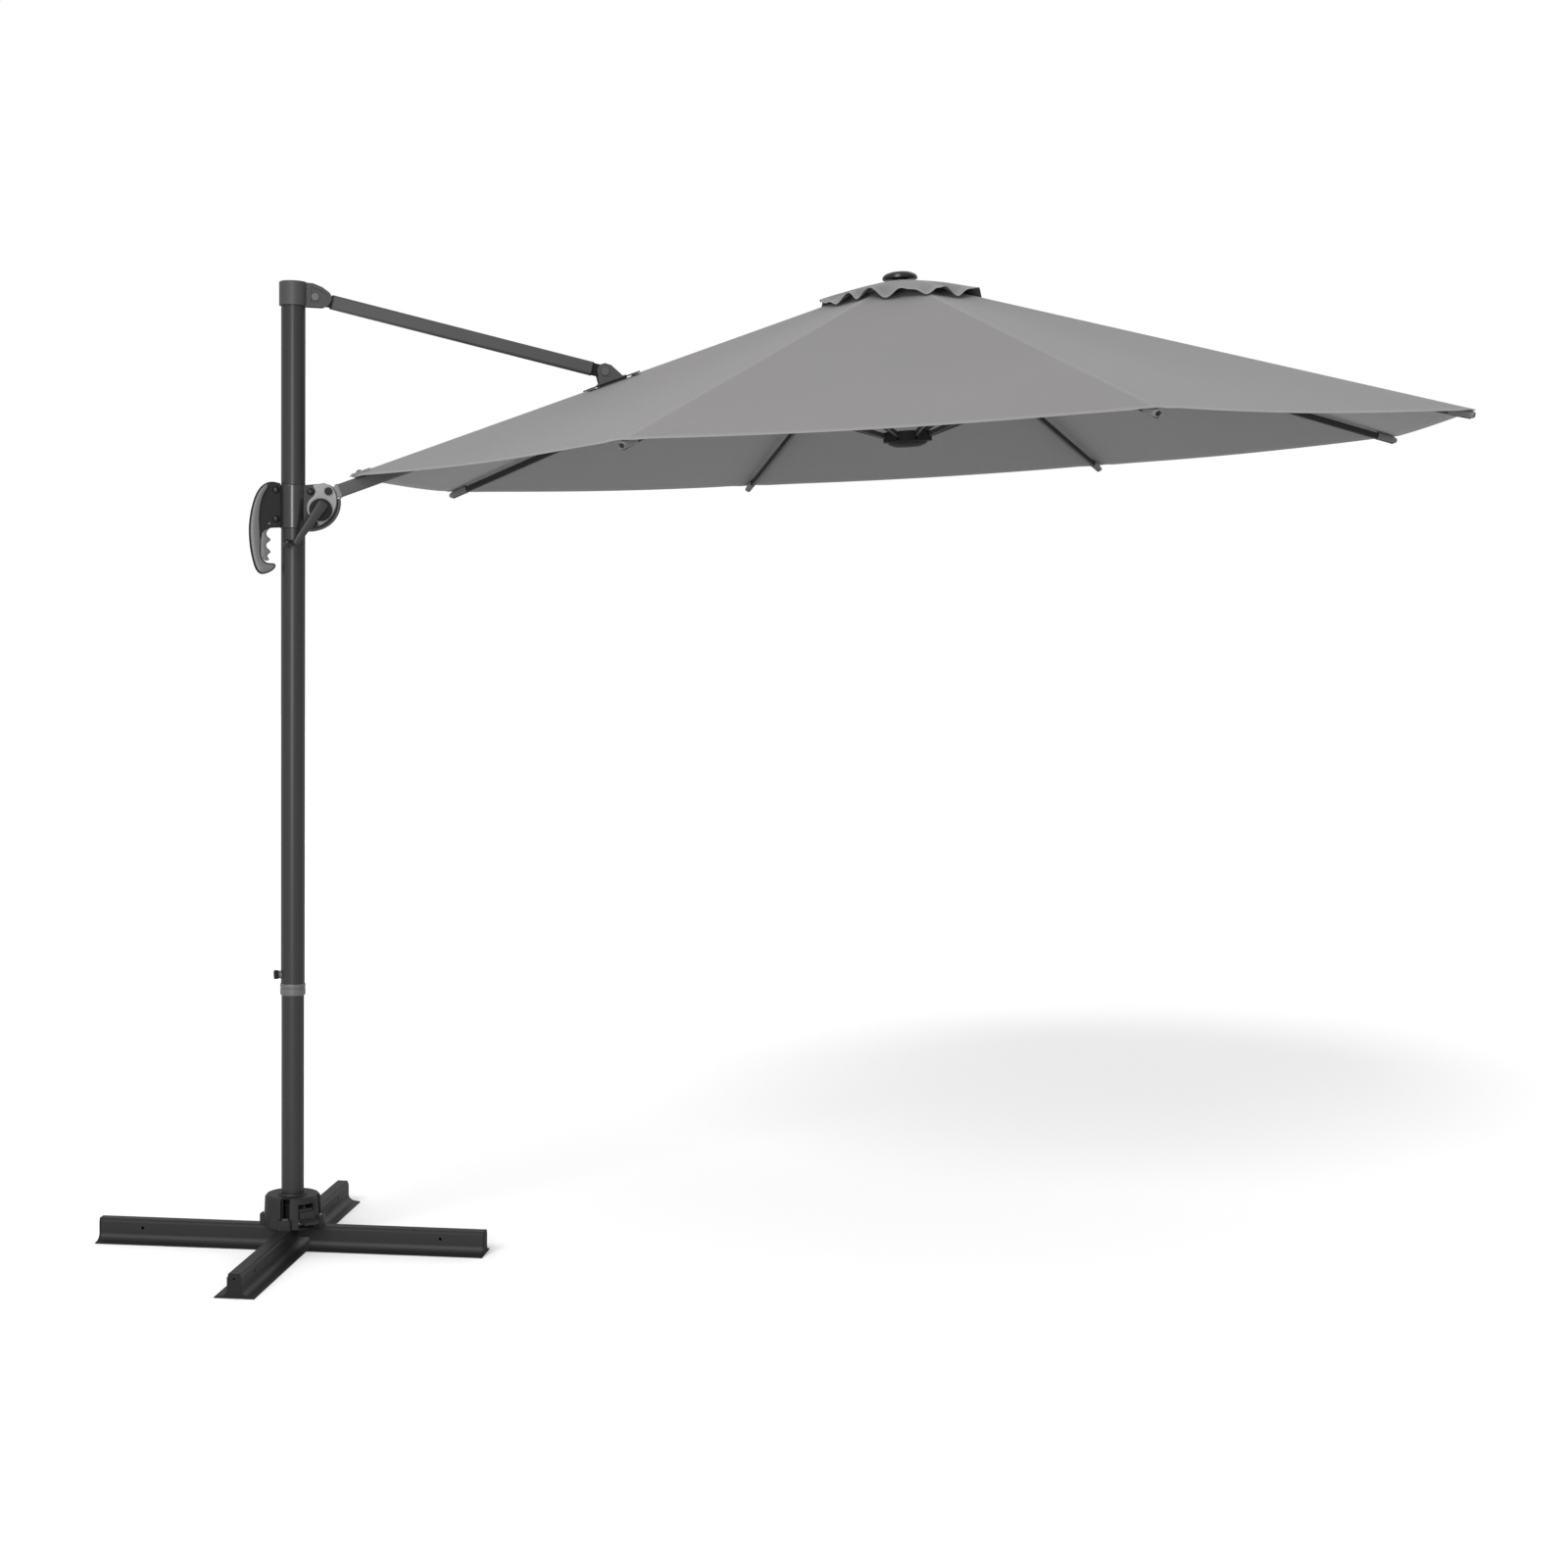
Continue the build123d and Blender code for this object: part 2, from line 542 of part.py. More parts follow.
# ---------------------------------------------------------------- crank
CRANK_HUB_R = 28.0
CRANK_HUB_THICK = 16.0
CRANK_FACE_Y = -CHEEK_OUTER - PLATE_THICK - 0.4 - CRANK_HUB_THICK   # outer face of the crank's hub
ARM_Y = CRANK_FACE_Y - 11.0                                         # middle of the arm
ARM_END = (CRANK_AXIS[0] - 62.0, CRANK_AXIS[1] - 82.0)


def crank_shaft():
    """Winding reel on its shaft, with the hub that carries the arm."""
    x, z = CRANK_AXIS
    far = CHEEK_OUTER + PLATE_THICK
    shaft = Pos(x, (far + CRANK_FACE_Y) / 2, z) * Rot(90, 0, 0) * Cylinder(9.0, far - CRANK_FACE_Y)
    reel = Cylinder(15, 30) + Pos(0, 0, 15.5) * Cylinder(24, 3) + Pos(0, 0, -15.5) * Cylinder(24, 3)
    hub = Cylinder(CRANK_HUB_R, CRANK_HUB_THICK)
    hub = fillet(hub.edges().filter_by(GeomType.CIRCLE), 3)
    hub = Pos(x, CRANK_FACE_Y + CRANK_HUB_THICK / 2, z) * Rot(90, 0, 0) * hub
    return shaft + Pos(x, 0, z) * Rot(90, 0, 0) * reel + hub


def crank_arm():
    """Tapered arm on the hub's face."""
    x, z = CRANK_AXIS
    start = (x - 2.0, z + 2.0)
    length = math.dist(start, ARM_END)
    low = Plane(origin=(start[0], ARM_Y, start[1]), x_dir=(0, 1, 0), z_dir=line_plane(start, ARM_END).z_dir)
    body = loft([low * Circle(12.5), low.offset(length) * Circle(8.5)])
    body += Pos(start[0], ARM_Y, start[1]) * Sphere(12.5)
    body += Pos(ARM_END[0], ARM_Y, ARM_END[1]) * Sphere(8.5)
    body += Pos(x, (ARM_Y + CRANK_FACE_Y) / 2, z) * Rot(90, 0, 0) * Cylinder(13, CRANK_FACE_Y - ARM_Y)
    body -= Pos(x, CRANK_FACE_Y + 10, z) * Rot(90, 0, 0) * Cylinder(40, 20)
    return body - crank_stem()


def crank_knob_axis():
    """Plane at the arm's end, along the knob's stem."""
    return Plane(origin=(ARM_END[0], ARM_Y, ARM_END[1]), x_dir=(0, 1, 0), z_dir=(-0.94, -0.27, -0.2))


def crank_stem():
    """Pin of the crank's knob, fixed in the arm."""
    return extrude(crank_knob_axis().offset(5) * Circle(3.0), amount=27)


def crank_knob():
    """Small mushroom knob that turns on the arm's pin."""
    outline = [(3.06, 0), (6.5, 0), (6.0, 6), (9.0, 10), (10.5, 14), (10.5, 18), (8.0, 21.5), (3.06, 22.5)]
    knob = revolve(make_face(Plane.XZ * Polyline(*outline, close=True)), Axis.Z)
    return crank_knob_axis().offset(9.2).location * knob


# ---------------------------------------------------------------- boom and canopy frame
def canopy_place():
    """Place of the canopy's own frame in the row."""
    tilt = math.radians(CANOPY_TILT)
    return Plane(origin=(PEAK[0], 0, PEAK[1]), x_dir=(math.cos(tilt), 0, math.sin(tilt)),
                 z_dir=(-math.sin(tilt), 0, math.cos(tilt))).location


def canopy_point(r, h):
    """Row point in the XZ plane of a canopy frame point on the boom's side (r towards the mast)."""
    tilt = math.radians(CANOPY_TILT)
    return (PEAK[0] - r * math.cos(tilt) - h * math.sin(tilt), PEAK[1] - r * math.sin(tilt) + h * math.cos(tilt))


CROWN_PIVOT = canopy_point(PIVOT_R, -RIB_PIVOT_DROP)
LUG_PIVOT = canopy_point(PIVOT_R + REACH * math.cos(PHI), -RIB_PIVOT_DROP - REACH * math.sin(PHI))
RUNNER_PIVOT = canopy_point(PIVOT_R, -RUNNER_PIVOT_DROP)


def boom_line():
    """Start and slope of the boom's centre line."""
    slope = math.atan2(CROWN_PIVOT[1] - BOOM_FOOT[1], CROWN_PIVOT[0] - BOOM_FOOT[0])
    span = math.dist(CROWN_PIVOT, BOOM_FOOT)
    slope += math.atan2(BOOM_LIFT + BOOM_AXIS_DROP, span)
    return point_on(BOOM_FOOT, slope, 0, -BOOM_AXIS_DROP), slope


BOOM_START, BOOM_SLOPE = boom_line()


def along_boom(point):
    """Distance along the boom's centre line of a point in the XZ plane."""
    dx, dz = point[0] - BOOM_START[0], point[1] - BOOM_START[1]
    return dx * math.cos(BOOM_SLOPE) + dz * math.sin(BOOM_SLOPE)


def on_boom(distance, rise=0.0):
    """Point of the XZ plane at a distance along the boom, raised square to it."""
    return point_on(BOOM_START, BOOM_SLOPE, distance, rise)


BOOM_TUBE_FROM = 30.0
BOOM_TUBE_TO = along_boom(CROWN_PIVOT) - 56.0


def boom_tube():
    """Main tube of the boom."""
    return hollow_bar(on_boom(BOOM_TUBE_FROM), on_boom(BOOM_TUBE_TO), BOOM_W, BOOM_H, BOOM_WALL, 6)


def boom_foot():
    """Fitting in the boom's lower end, with the eye that turns on the slider's bolt."""
    eye = cross_pin(17, 18.6, *BOOM_FOOT)
    neck = solid_bar(on_boom(0), on_boom(26), 36, 30, 3)
    lip = solid_bar(on_boom(26), on_boom(30), BOOM_W + 6, BOOM_H + 3, 6)
    plug = solid_bar(on_boom(30), on_boom(90), BOOM_W - 2 * BOOM_WALL, BOOM_H - 2 * BOOM_WALL, 4.4)
    return eye + neck + lip + plug - cross_pin(5.05, 30, *BOOM_FOOT)


def boom_end():
    """Tongue in the boom's upper end, with trunnions in the crown."""
    end = BOOM_TUBE_TO
    plug = solid_bar(on_boom(end - 50), on_boom(end), BOOM_W - 2 * BOOM_WALL, BOOM_H - 2 * BOOM_WALL, 4.4)
    lip = solid_bar(on_boom(end), on_boom(end + 5), BOOM_W, BOOM_H, 6)
    reach = along_boom(CROWN_PIVOT)
    tongue = plate_xz([on_boom(end, -15), on_boom(reach, -BOOM_LIFT - 8), on_boom(reach + 2, -BOOM_LIFT + 8),
                       on_boom(reach - 12, -BOOM_LIFT + 9), on_boom(end, 15)], -TONGUE / 2, TONGUE / 2)
    tongue += cross_pin(8, TONGUE / 2, *CROWN_PIVOT)
    return plug + lip + tongue + cross_pin(TRUNNION_R, 8, *CROWN_PIVOT)


def boom_lug():
    """Saddle under the boom that carries its stretcher."""
    at = along_boom(LUG_PIVOT)
    saddle = solid_bar(on_boom(at - 20, -BOOM_H / 2 - 1), on_boom(at + 20, -BOOM_H / 2 - 1), BOOM_W, 2, 0.8)
    lug = plate_xz([on_boom(at - 12, -BOOM_H / 2 - 1), LUG_PIVOT, on_boom(at + 12, -BOOM_H / 2 - 1)], -3, 3)
    lug += cross_pin(5.5, 3, *LUG_PIVOT)
    return saddle + lug - cross_pin(2.05, 10, *LUG_PIVOT)


def strut_bracket():
    """Bracket on the boom's back with two rounded cheeks round the strut's end."""
    at = along_boom(STRUT_END)
    rise = math.dist(STRUT_END, on_boom(at))
    top = BOOM_H / 2
    base = solid_bar(on_boom(at - 28, top + 8), on_boom(at + 50, top + 8), BOOM_W + 4, 16, 2)
    cheek = [on_boom(at - 24, top + 8), on_boom(at - 21, rise - 4), on_boom(at - 17, rise + 12),
             on_boom(at - 6, rise + 21), on_boom(at + 8, rise + 20), on_boom(at + 22, rise + 10),
             on_boom(at + 46, top + 8)]
    body = plate_xz(cheek, 8.6, 12.6) + plate_xz(cheek, -12.6, -8.6) + base
    return body - cross_pin(5.0, 30, *STRUT_END)


def fabric_patch():
    """Stiff trim plate round the bracket, on top of the fabric."""
    at = along_boom(STRUT_END)
    lift = BOOM_H / 2 + PATCH_LIFT
    plate = solid_bar(on_boom(at - 62, lift), on_boom(at + 84, lift), 64, 3, 1.2)
    hole = solid_bar(on_boom(at - 28.3, lift), on_boom(at + 50.3, lift), BOOM_W + 4.6, 12, 1)
    return plate - hole


def rib():
    """Rib in its radial plane: tongue with trunnions, tube and a lug for the stretcher."""
    slope = -math.radians(RIB_SLOPE)
    pivot = (PIVOT_R, -RIB_PIVOT_DROP)
    root = point_on(pivot, slope, 30)
    start = point_on(pivot, slope, 36)
    end = point_on(pivot, slope, (RIB_END_R - PIVOT_R) / math.cos(slope))
    body = cross_pin(8, TONGUE / 2, *pivot) + solid_bar(pivot, root, TONGUE, 15.8, 1)
    body += cross_pin(TRUNNION_R, 8, *pivot)
    body += solid_bar(root, start, RIB_W + 2, RIB_H + 2, 3)
    body += hollow_bar(start, end, RIB_W, RIB_H, RIB_WALL, 3)
    tip = point_on(end, slope, -12)
    body += solid_bar(tip, end, RIB_W - RIB_WALL, RIB_H - RIB_WALL, 2.4)
    lug = (PIVOT_R + REACH * math.cos(PHI), -RIB_PIVOT_DROP - REACH * math.sin(PHI))
    at = STRETCHER_AT
    web = [point_on(pivot, slope, at - 13, -RIB_H / 2 + 1), lug, point_on(pivot, slope, at + 13, -RIB_H / 2 + 1)]
    body += plate_xz(web, -3, 3) + cross_pin(5.5, 3, *lug)
    return body - cross_pin(2.05, 10, *lug)


def radial(shape, k):
    """Puts a shape made in the radial plane at spoke k of the canopy; spoke 0 is the boom's."""
    return canopy_place() * Rot(0, 0, 180 + 45 * k) * shape


def stretcher():
    """Stretcher in its radial plane, from the runner to a rib's lug."""
    low = (PIVOT_R, -RUNNER_PIVOT_DROP)
    high = (PIVOT_R + REACH * math.cos(PHI), -RIB_PIVOT_DROP - REACH * math.sin(PHI))
    root = point_on(low, PHI, 26)
    neck = point_on(low, PHI, REACH - 26)
    body = cross_pin(6.5, TONGUE / 2, *low) + solid_bar(low, root, TONGUE, 12.8, 1)
    body += cross_pin(TRUNNION_R, 8, *low) + solid_bar(root, neck, STRETCHER_W, STRETCHER_H, 3)
    fork = solid_bar(point_on(low, PHI, REACH - 28), high, 13.6, 10.6, 1) + cross_pin(5.5, 6.8, *high)
    fork -= plate_xz([point_on(low, PHI, REACH - 14, 20), point_on(low, PHI, REACH + 20, 20),
                      point_on(low, PHI, REACH + 20, -20), point_on(low, PHI, REACH - 14, -20)], -3.4, 3.4)
    return body + fork + cross_pin(2.0, 6.8, *high)


def slotted_ring(top, bottom):
    """Hub ring with eight radial hinge slots, pivots at height 0."""
    ring = rod(66, top - bottom, bottom)
    ring = fillet(ring.edges().filter_by(GeomType.CIRCLE), 2)
    for k in range(8):
        ring -= Rot(0, 0, 45 * k) * Pos(55, 0, 0) * Box(32, SLOT, 200)
        bore = Pos(PIVOT_R, 0, 0) * Rot(90, 0, 0) * Cylinder(BEARING_R, 16.4)
        ring -= Rot(0, 0, 45 * k) * bore
    return ring


def crown_hub():
    """Upper hub: a slotted ring, closed on top, with a neck up to the finial."""
    ring = slotted_ring(11, -14)
    lid = rod(66, 4, 11)
    neck = rod(20, RIB_PIVOT_DROP - 31, 15)
    collar = rod(44, 6, 15)
    return canopy_place() * up(ring + lid + neck + collar, -RIB_PIVOT_DROP)


def finial_cap():
    """Domed cap on the canopy's peak."""
    outline = [(0, -16), (20, -16), (20, -12), (46, -12), (48, -9), (46, -2), (38, 4), (24, 8), (0, 9.5)]
    cap = revolve(make_face(Plane.XZ * Polyline(*outline, close=True)), Axis.Z)
    return canopy_place() * cap


def runner():
    """Lower hub that all the stretchers hinge on, with a bell under it."""
    ring = slotted_ring(14, -9)
    floor = rod(66, 4, -13)
    bell = [(0, -13), (56, -13), (50, -20), (34, -26), (0, -28)]
    cup = revolve(make_face(Plane.XZ * Polyline(*bell, close=True)), Axis.Z)
    bore = rod(14, 80, -20)
    return canopy_place() * up(ring + floor + cup - bore, -RUNNER_PIVOT_DROP)


def octagon_shell(r_top, z_top, r_low, z_low, thick):
    """Thin octagonal cone shell between two heights, corners over the ribs."""
    def cone(shift):
        corners_top = Plane.XY.offset(z_top + shift) * RegularPolygon(r_top, 8)
        corners_low = Plane.XY.offset(z_low + shift) * RegularPolygon(r_low, 8)
        return loft([corners_low, corners_top], ruled=True)
    return cone(0) - cone(-thick) - rod(0.9 * r_top, 4 * thick, z_top - 2 * thick)


def canopy_fabric():
    """Stretched octagonal fabric over the ribs, open at the vent and where the bracket passes."""
    shell = octagon_shell(VENT_HOLE_R, -VENT_HOLE_DROP, TIP_R, -TIP_DROP, FABRIC)
    at = along_boom(STRUT_END)
    opening = solid_bar(on_boom(at - 29, BOOM_H), on_boom(at + 51, BOOM_H), BOOM_W + 6, 60, 1)
    return canopy_place() * shell - opening


def vent_flap():
    """Loose round flap over the vent."""
    shell = octagon_shell(24, -13.5, VENT_R, -VENT_DROP, FABRIC)
    return canopy_place() * shell


def write(name, shape):
    """Writes one node's STEP file."""
    export_step(shape, f"parts/{name}.step")


def main():
    long_beam, short_beam = cross_beams()
    nodes = {
        "cross_beam_long": long_beam,
        "cross_beam_short": short_beam,
        "beam_end_caps": end_caps(),
        "base_hub": base_hub(),
        "hub_bolts": hub_bolts(),
        "pivot_post": pivot_post(),
        "foot_pedal": foot_pedal(),
        "pedal_pin": pedal_pin(),
        "mast_lower_tube": mast_lower_tube(),
        "mast_upper_tube": mast_upper_tube(),
        "swivel_bushes": swivel_bushes(),
        "index_ring": index_ring(),
        "mast_collar": mast_collar(),
        "clamp_seat": clamp_seat(),
        "clamp_knob": clamp_knob(),
        "mast_cap": mast_cap(),
        "cap_pivot_bolt": pivot_bolt(*STRUT_TOP, 16.5),
        "strut_tube": strut_tube(),
        "strut_upper_end": strut_upper_end(),
        "strut_lower_end": strut_lower_end(),
        "slider_casting": slider_casting(),
        "glide_liners": glide_liners(),
        "cheek_plates": cheek_plates(),
        "rim_band": rim_band(),
        "slider_bolts": slider_bolts(),
        "boom_pivot_bolt": pivot_bolt(*BOOM_FOOT, CHEEK_OUTER + PLATE_THICK, head=10.0),
        "grip_handle": grip_handle(),
        "grip_trigger": grip_trigger(),
        "trigger_pin": trigger_pin(),
        "crank_shaft": crank_shaft(),
        "crank_arm": crank_arm(),
        "crank_stem": crank_stem(),
        "crank_knob": crank_knob(),
        "boom_tube": boom_tube(),
        "boom_foot": boom_foot(),
        "boom_end": boom_end(),
        "boom_lug": boom_lug(),
        "strut_bracket": strut_bracket(),
        "strut_bolt": pivot_bolt(*STRUT_END, 12.6, head=10.0),
        "fabric_patch": fabric_patch(),
        "crown_hub": crown_hub(),
        "finial_cap": finial_cap(),
        "runner": runner(),
        "canopy_fabric": canopy_fabric(),
        "vent_flap": vent_flap(),
    }
    for k in range(1, RIBS + 1):
        nodes[f"rib_{k}"] = radial(rib(), k)
    for k in range(RIBS + 1):
        nodes[f"stretcher_{k}"] = radial(stretcher(), k)
    for name, shape in nodes.items():
        write(name, shape)


main()
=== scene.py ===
"""Cantilever parasol: cloth, grip, fittings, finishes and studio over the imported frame.

Metres throughout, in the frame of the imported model: origin on the floor under the mast, +Z up,
+X along the boom.
"""
import json
import logging
import math
from dataclasses import dataclass, field
from enum import Enum
from typing import Callable, Sequence

import bmesh
import bpy
from mathutils import Matrix, Vector

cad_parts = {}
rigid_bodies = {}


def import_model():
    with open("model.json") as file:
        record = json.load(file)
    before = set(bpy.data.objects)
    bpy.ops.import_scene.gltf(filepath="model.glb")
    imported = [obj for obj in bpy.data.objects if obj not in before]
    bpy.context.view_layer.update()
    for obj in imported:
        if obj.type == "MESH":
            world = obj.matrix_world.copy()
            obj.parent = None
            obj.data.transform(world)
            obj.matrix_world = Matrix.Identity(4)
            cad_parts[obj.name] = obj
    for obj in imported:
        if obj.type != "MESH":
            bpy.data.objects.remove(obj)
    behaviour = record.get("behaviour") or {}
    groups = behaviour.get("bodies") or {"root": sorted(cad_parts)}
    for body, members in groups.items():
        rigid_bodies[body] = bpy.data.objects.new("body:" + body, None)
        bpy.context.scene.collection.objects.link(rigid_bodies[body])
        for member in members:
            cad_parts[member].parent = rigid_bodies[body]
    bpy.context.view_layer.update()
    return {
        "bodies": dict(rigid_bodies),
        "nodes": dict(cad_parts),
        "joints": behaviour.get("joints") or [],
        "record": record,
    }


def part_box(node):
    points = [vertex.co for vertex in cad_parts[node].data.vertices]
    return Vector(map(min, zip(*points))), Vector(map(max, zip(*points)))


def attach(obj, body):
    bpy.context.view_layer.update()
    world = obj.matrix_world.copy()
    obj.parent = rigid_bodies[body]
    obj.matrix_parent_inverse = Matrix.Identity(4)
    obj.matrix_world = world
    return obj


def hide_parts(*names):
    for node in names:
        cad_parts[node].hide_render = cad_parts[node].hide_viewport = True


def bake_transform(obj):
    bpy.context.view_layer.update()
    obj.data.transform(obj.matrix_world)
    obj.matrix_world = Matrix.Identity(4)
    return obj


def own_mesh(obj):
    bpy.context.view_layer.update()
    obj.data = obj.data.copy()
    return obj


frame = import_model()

JOINTS = {joint["name"]: joint for joint in frame["record"]["behaviour"]["joints"]}
SPOKES = 8
HALF_GORE = math.pi / SPOKES
CLOTH_THICK = 0.0011
CLEAR_OF_SEAM = 0.05    # cloth map U of small pieces, away from the seam over a rib
FAR_FROM_SEAM = 0.5     # the same for the vent flap
PIECE_SHARP, ROLLED_SHARP, CLOTH_SHARP = 16.0, 25.0, 80.0   # degrees at which an edge shows
LOG = logging.getLogger("parasol")

Point = tuple[float, float]
Colour = tuple[float, float, float]


class Band(Enum):
    """Direction that a wave pattern's bands are counted along."""

    ALONG_X = "X"
    ALONG_Y = "Y"


class Side(Enum):
    """Side of the slider, as the sign of Y."""

    CRANK = -1
    FAR = 1

    def span(self, inner: float, outer: float) -> tuple[float, float]:
        """Puts a range of distances from the middle plane on this side.

        Args:
            inner: distance of the near face.
            outer: distance of the far face.

        Returns:
            The lower and upper Y.
        """
        low, high = sorted((self.value * inner, self.value * outer))
        return low, high


# ---------- finishes
class ShaderTree:
    """A material under construction, with short calls for its nodes."""

    def __init__(self, name: str) -> None:
        """Makes an empty Principled material.

        Args:
            name: the material's name.
        """
        self.material = bpy.data.materials.new(name)
        self.material.use_nodes = True
        self.nodes = self.material.node_tree.nodes
        self.links = self.material.node_tree.links
        self.surface = self.nodes["Principled BSDF"]

    def add(self, kind: str, **settings: object) -> bpy.types.Node:
        """Adds a node and sets its properties.

        Args:
            kind: the node's type name.
            **settings: property values by name.

        Returns:
            The new node.
        """
        node = self.nodes.new(kind)
        for key, value in settings.items():
            setattr(node, key, value)
        return node

    def feed(self, node: bpy.types.Node, **values: object) -> bpy.types.Node:
        """Sets or links inputs of a node; underscores in names stand for spaces.

        Args:
            node: the node to feed.
            **values: a number, a colour or an output socket for each input.

        Returns:
            The same node.
        """
        for key, value in values.items():
            self.plug(node.inputs[key.replace("_", " ")], value)
        return node

    def plug(self, socket: bpy.types.NodeSocket, value: object) -> None:
        """Links an output to a socket, or sets the socket's own value.

        Args:
            socket: the input.
            value: an output socket, a number or a colour.
        """
        if isinstance(value, bpy.types.NodeSocket):
            self.links.new(value, socket)
        else:
            socket.default_value = value

    def math(self, operation: str, *values: object) -> bpy.types.NodeSocket:
        """Adds a Math node.

        Args:
            operation: its operation.
            *values: numbers or sockets.

        Returns:
            Its output.
        """
        node = self.add("ShaderNodeMath", operation=operation)
        for socket, value in zip(node.inputs, values):
            self.plug(socket, value)
        return node.outputs[0]

    def noise(self, vector: bpy.types.NodeSocket, scale: float, detail: float = 3.0) -> bpy.types.NodeSocket:
        """Adds a noise texture.

        Args:
            vector: coordinates in metres.
            scale: features per metre.
            detail: octaves.

        Returns:
            The noise value.
        """
        node = self.add("ShaderNodeTexNoise")
        self.feed(node, Vector=vector, Scale=scale, Detail=detail)
        return node.outputs["Fac"]

    def wave(self, vector: bpy.types.NodeSocket, band: Band, period: float) -> bpy.types.NodeSocket:
        """Adds sine bands.

        Args:
            vector: coordinates in metres.
            band: the direction the bands are counted along.
            period: width of one band in metres.

        Returns:
            The wave value.
        """
        node = self.add("ShaderNodeTexWave", wave_type="BANDS", bands_direction=band.value)
        self.feed(node, Vector=vector, Scale=2 * math.pi / (20 * period))
        return node.outputs["Fac"]

    def blend(self, factor: object, first: object, second: object) -> bpy.types.NodeSocket:
        """Mixes two colours.

        Args:
            factor: a number or socket, 0 for the first colour.
            first: colour or socket.
            second: colour or socket.

        Returns:
            The mixed colour.
        """
        node = self.add("ShaderNodeMix", data_type="RGBA")
        self.plug(node.inputs[0], factor)
        self.plug(node.inputs[6], (*first, 1.0) if isinstance(first, tuple) else first)
        self.plug(node.inputs[7], (*second, 1.0) if isinstance(second, tuple) else second)
        return node.outputs[2]

    def spread(self, value: object, low: float, high: float) -> bpy.types.NodeSocket:
        """Maps 0..1 to a range.

        Args:
            value: the socket to map.
            low: result at 0.
            high: result at 1.

        Returns:
            The mapped value.
        """
        node = self.add("ShaderNodeMapRange")
        self.plug(node.inputs["Value"], value)
        node.inputs["To Min"].default_value = low
        node.inputs["To Max"].default_value = high
        return node.outputs[0]

    def bump(self, height: object, strength: float, distance: float) -> None:
        """Feeds a height to the surface's normal.

        Args:
            height: height socket.
            strength: bump strength.
            distance: real height in metres at 1.
        """
        node = self.add("ShaderNodeBump")
        self.feed(node, Height=height, Strength=strength, Distance=distance)
        self.feed(self.surface, Normal=node.outputs[0])


@dataclass(frozen=True)
class Coated:
    """Coated or moulded surface: a base colour with fine grain, faint clouding and a satin gloss.

    Attributes:
        name: material name.
        colour: linear base colour.
        rough: mean roughness.
        grain: grain features per metre.
        relief: bump strength of the grain.
        clouding: relative spread of the colour.
        gloss: specular level.
    """

    name: str
    colour: Colour
    rough: float
    grain: float = 1400.0
    relief: float = 0.25
    clouding: float = 0.12
    gloss: float = 0.3

    def build(self) -> bpy.types.Material:
        """Makes the material.

        Returns:
            The material.
        """
        tree = ShaderTree(self.name)
        place = tree.add("ShaderNodeTexCoord").outputs["Object"]
        dark = tuple(c * (1 - self.clouding) for c in self.colour)
        light = tuple(c * (1 + self.clouding) for c in self.colour)
        fine = tree.noise(place, self.grain, 2.0)
        broad = tree.noise(place, 9.0, 4.0)
        worn = tree.math("MULTIPLY_ADD", fine, 0.4, tree.math("MULTIPLY", broad, 0.6))
        tree.feed(tree.surface, Base_Color=tree.blend(worn, dark, light))
        tree.feed(tree.surface, Roughness=tree.spread(worn, self.rough - 0.07, self.rough + 0.07))
        edge = tree.add("ShaderNodeLayerWeight").outputs["Facing"]
        tree.feed(tree.surface, Specular_IOR_Level=tree.spread(edge, self.gloss, self.gloss * 0.1))
        tree.bump(fine, self.relief, 0.0003)
        return tree.material


@dataclass(frozen=True)
class Speckled:
    """Light metallic paint with dark and bright flecks.

    Attributes:
        name: material name.
        ground: colour between the flecks.
        fleck: colour of the dark flecks.
        size: width of a fleck in metres.
    """

    name: str
    ground: Colour
    fleck: Colour
    size: float

    def build(self) -> bpy.types.Material:
        """Makes the material.

        Returns:
            The material.
        """
        tree = ShaderTree(self.name)
        place = tree.add("ShaderNodeTexCoord").outputs["Object"]
        cells = tree.add("ShaderNodeTexVoronoi")
        tree.feed(cells, Vector=place, Scale=1 / self.size)
        chosen = tree.math("LESS_THAN", cells.outputs["Distance"], 0.28)
        clouds = tree.noise(place, 45.0, 3.0)
        part = tree.math("MULTIPLY", chosen, tree.spread(clouds, 0.3, 1.0))
        tree.feed(tree.surface, Base_Color=tree.blend(part, self.ground, self.fleck))
        tree.feed(tree.surface, Roughness=tree.spread(clouds, 0.35, 0.55), Metallic=0.35)
        tree.bump(tree.noise(place, 900.0, 2.0), 0.2, 0.0003)
        return tree.material


@dataclass(frozen=True)
class Brushed:
    """Metal with fine lines drawn round or along it.

    Attributes:
        name: material name.
        colour: metal colour.
        rough: mean roughness.
        stretch: scale of the lines along each axis.
    """

    name: str
    colour: Colour
    rough: float
    stretch: Colour

    def build(self) -> bpy.types.Material:
        """Makes the material.

        Returns:
            The material.
        """
        tree = ShaderTree(self.name)
        place = tree.add("ShaderNodeTexCoord").outputs["Object"]
        mapping = tree.add("ShaderNodeMapping")
        tree.feed(mapping, Vector=place, Scale=self.stretch)
        lines = tree.noise(mapping.outputs[0], 30.0, 5.0)
        dark = tuple(c * 0.8 for c in self.colour)
        tree.feed(tree.surface, Base_Color=tree.blend(lines, dark, self.colour), Metallic=0.9)
        tree.feed(tree.surface, Roughness=tree.spread(lines, self.rough - 0.08, self.rough + 0.12))
        tree.bump(lines, 0.15, 0.0002)
        return tree.material


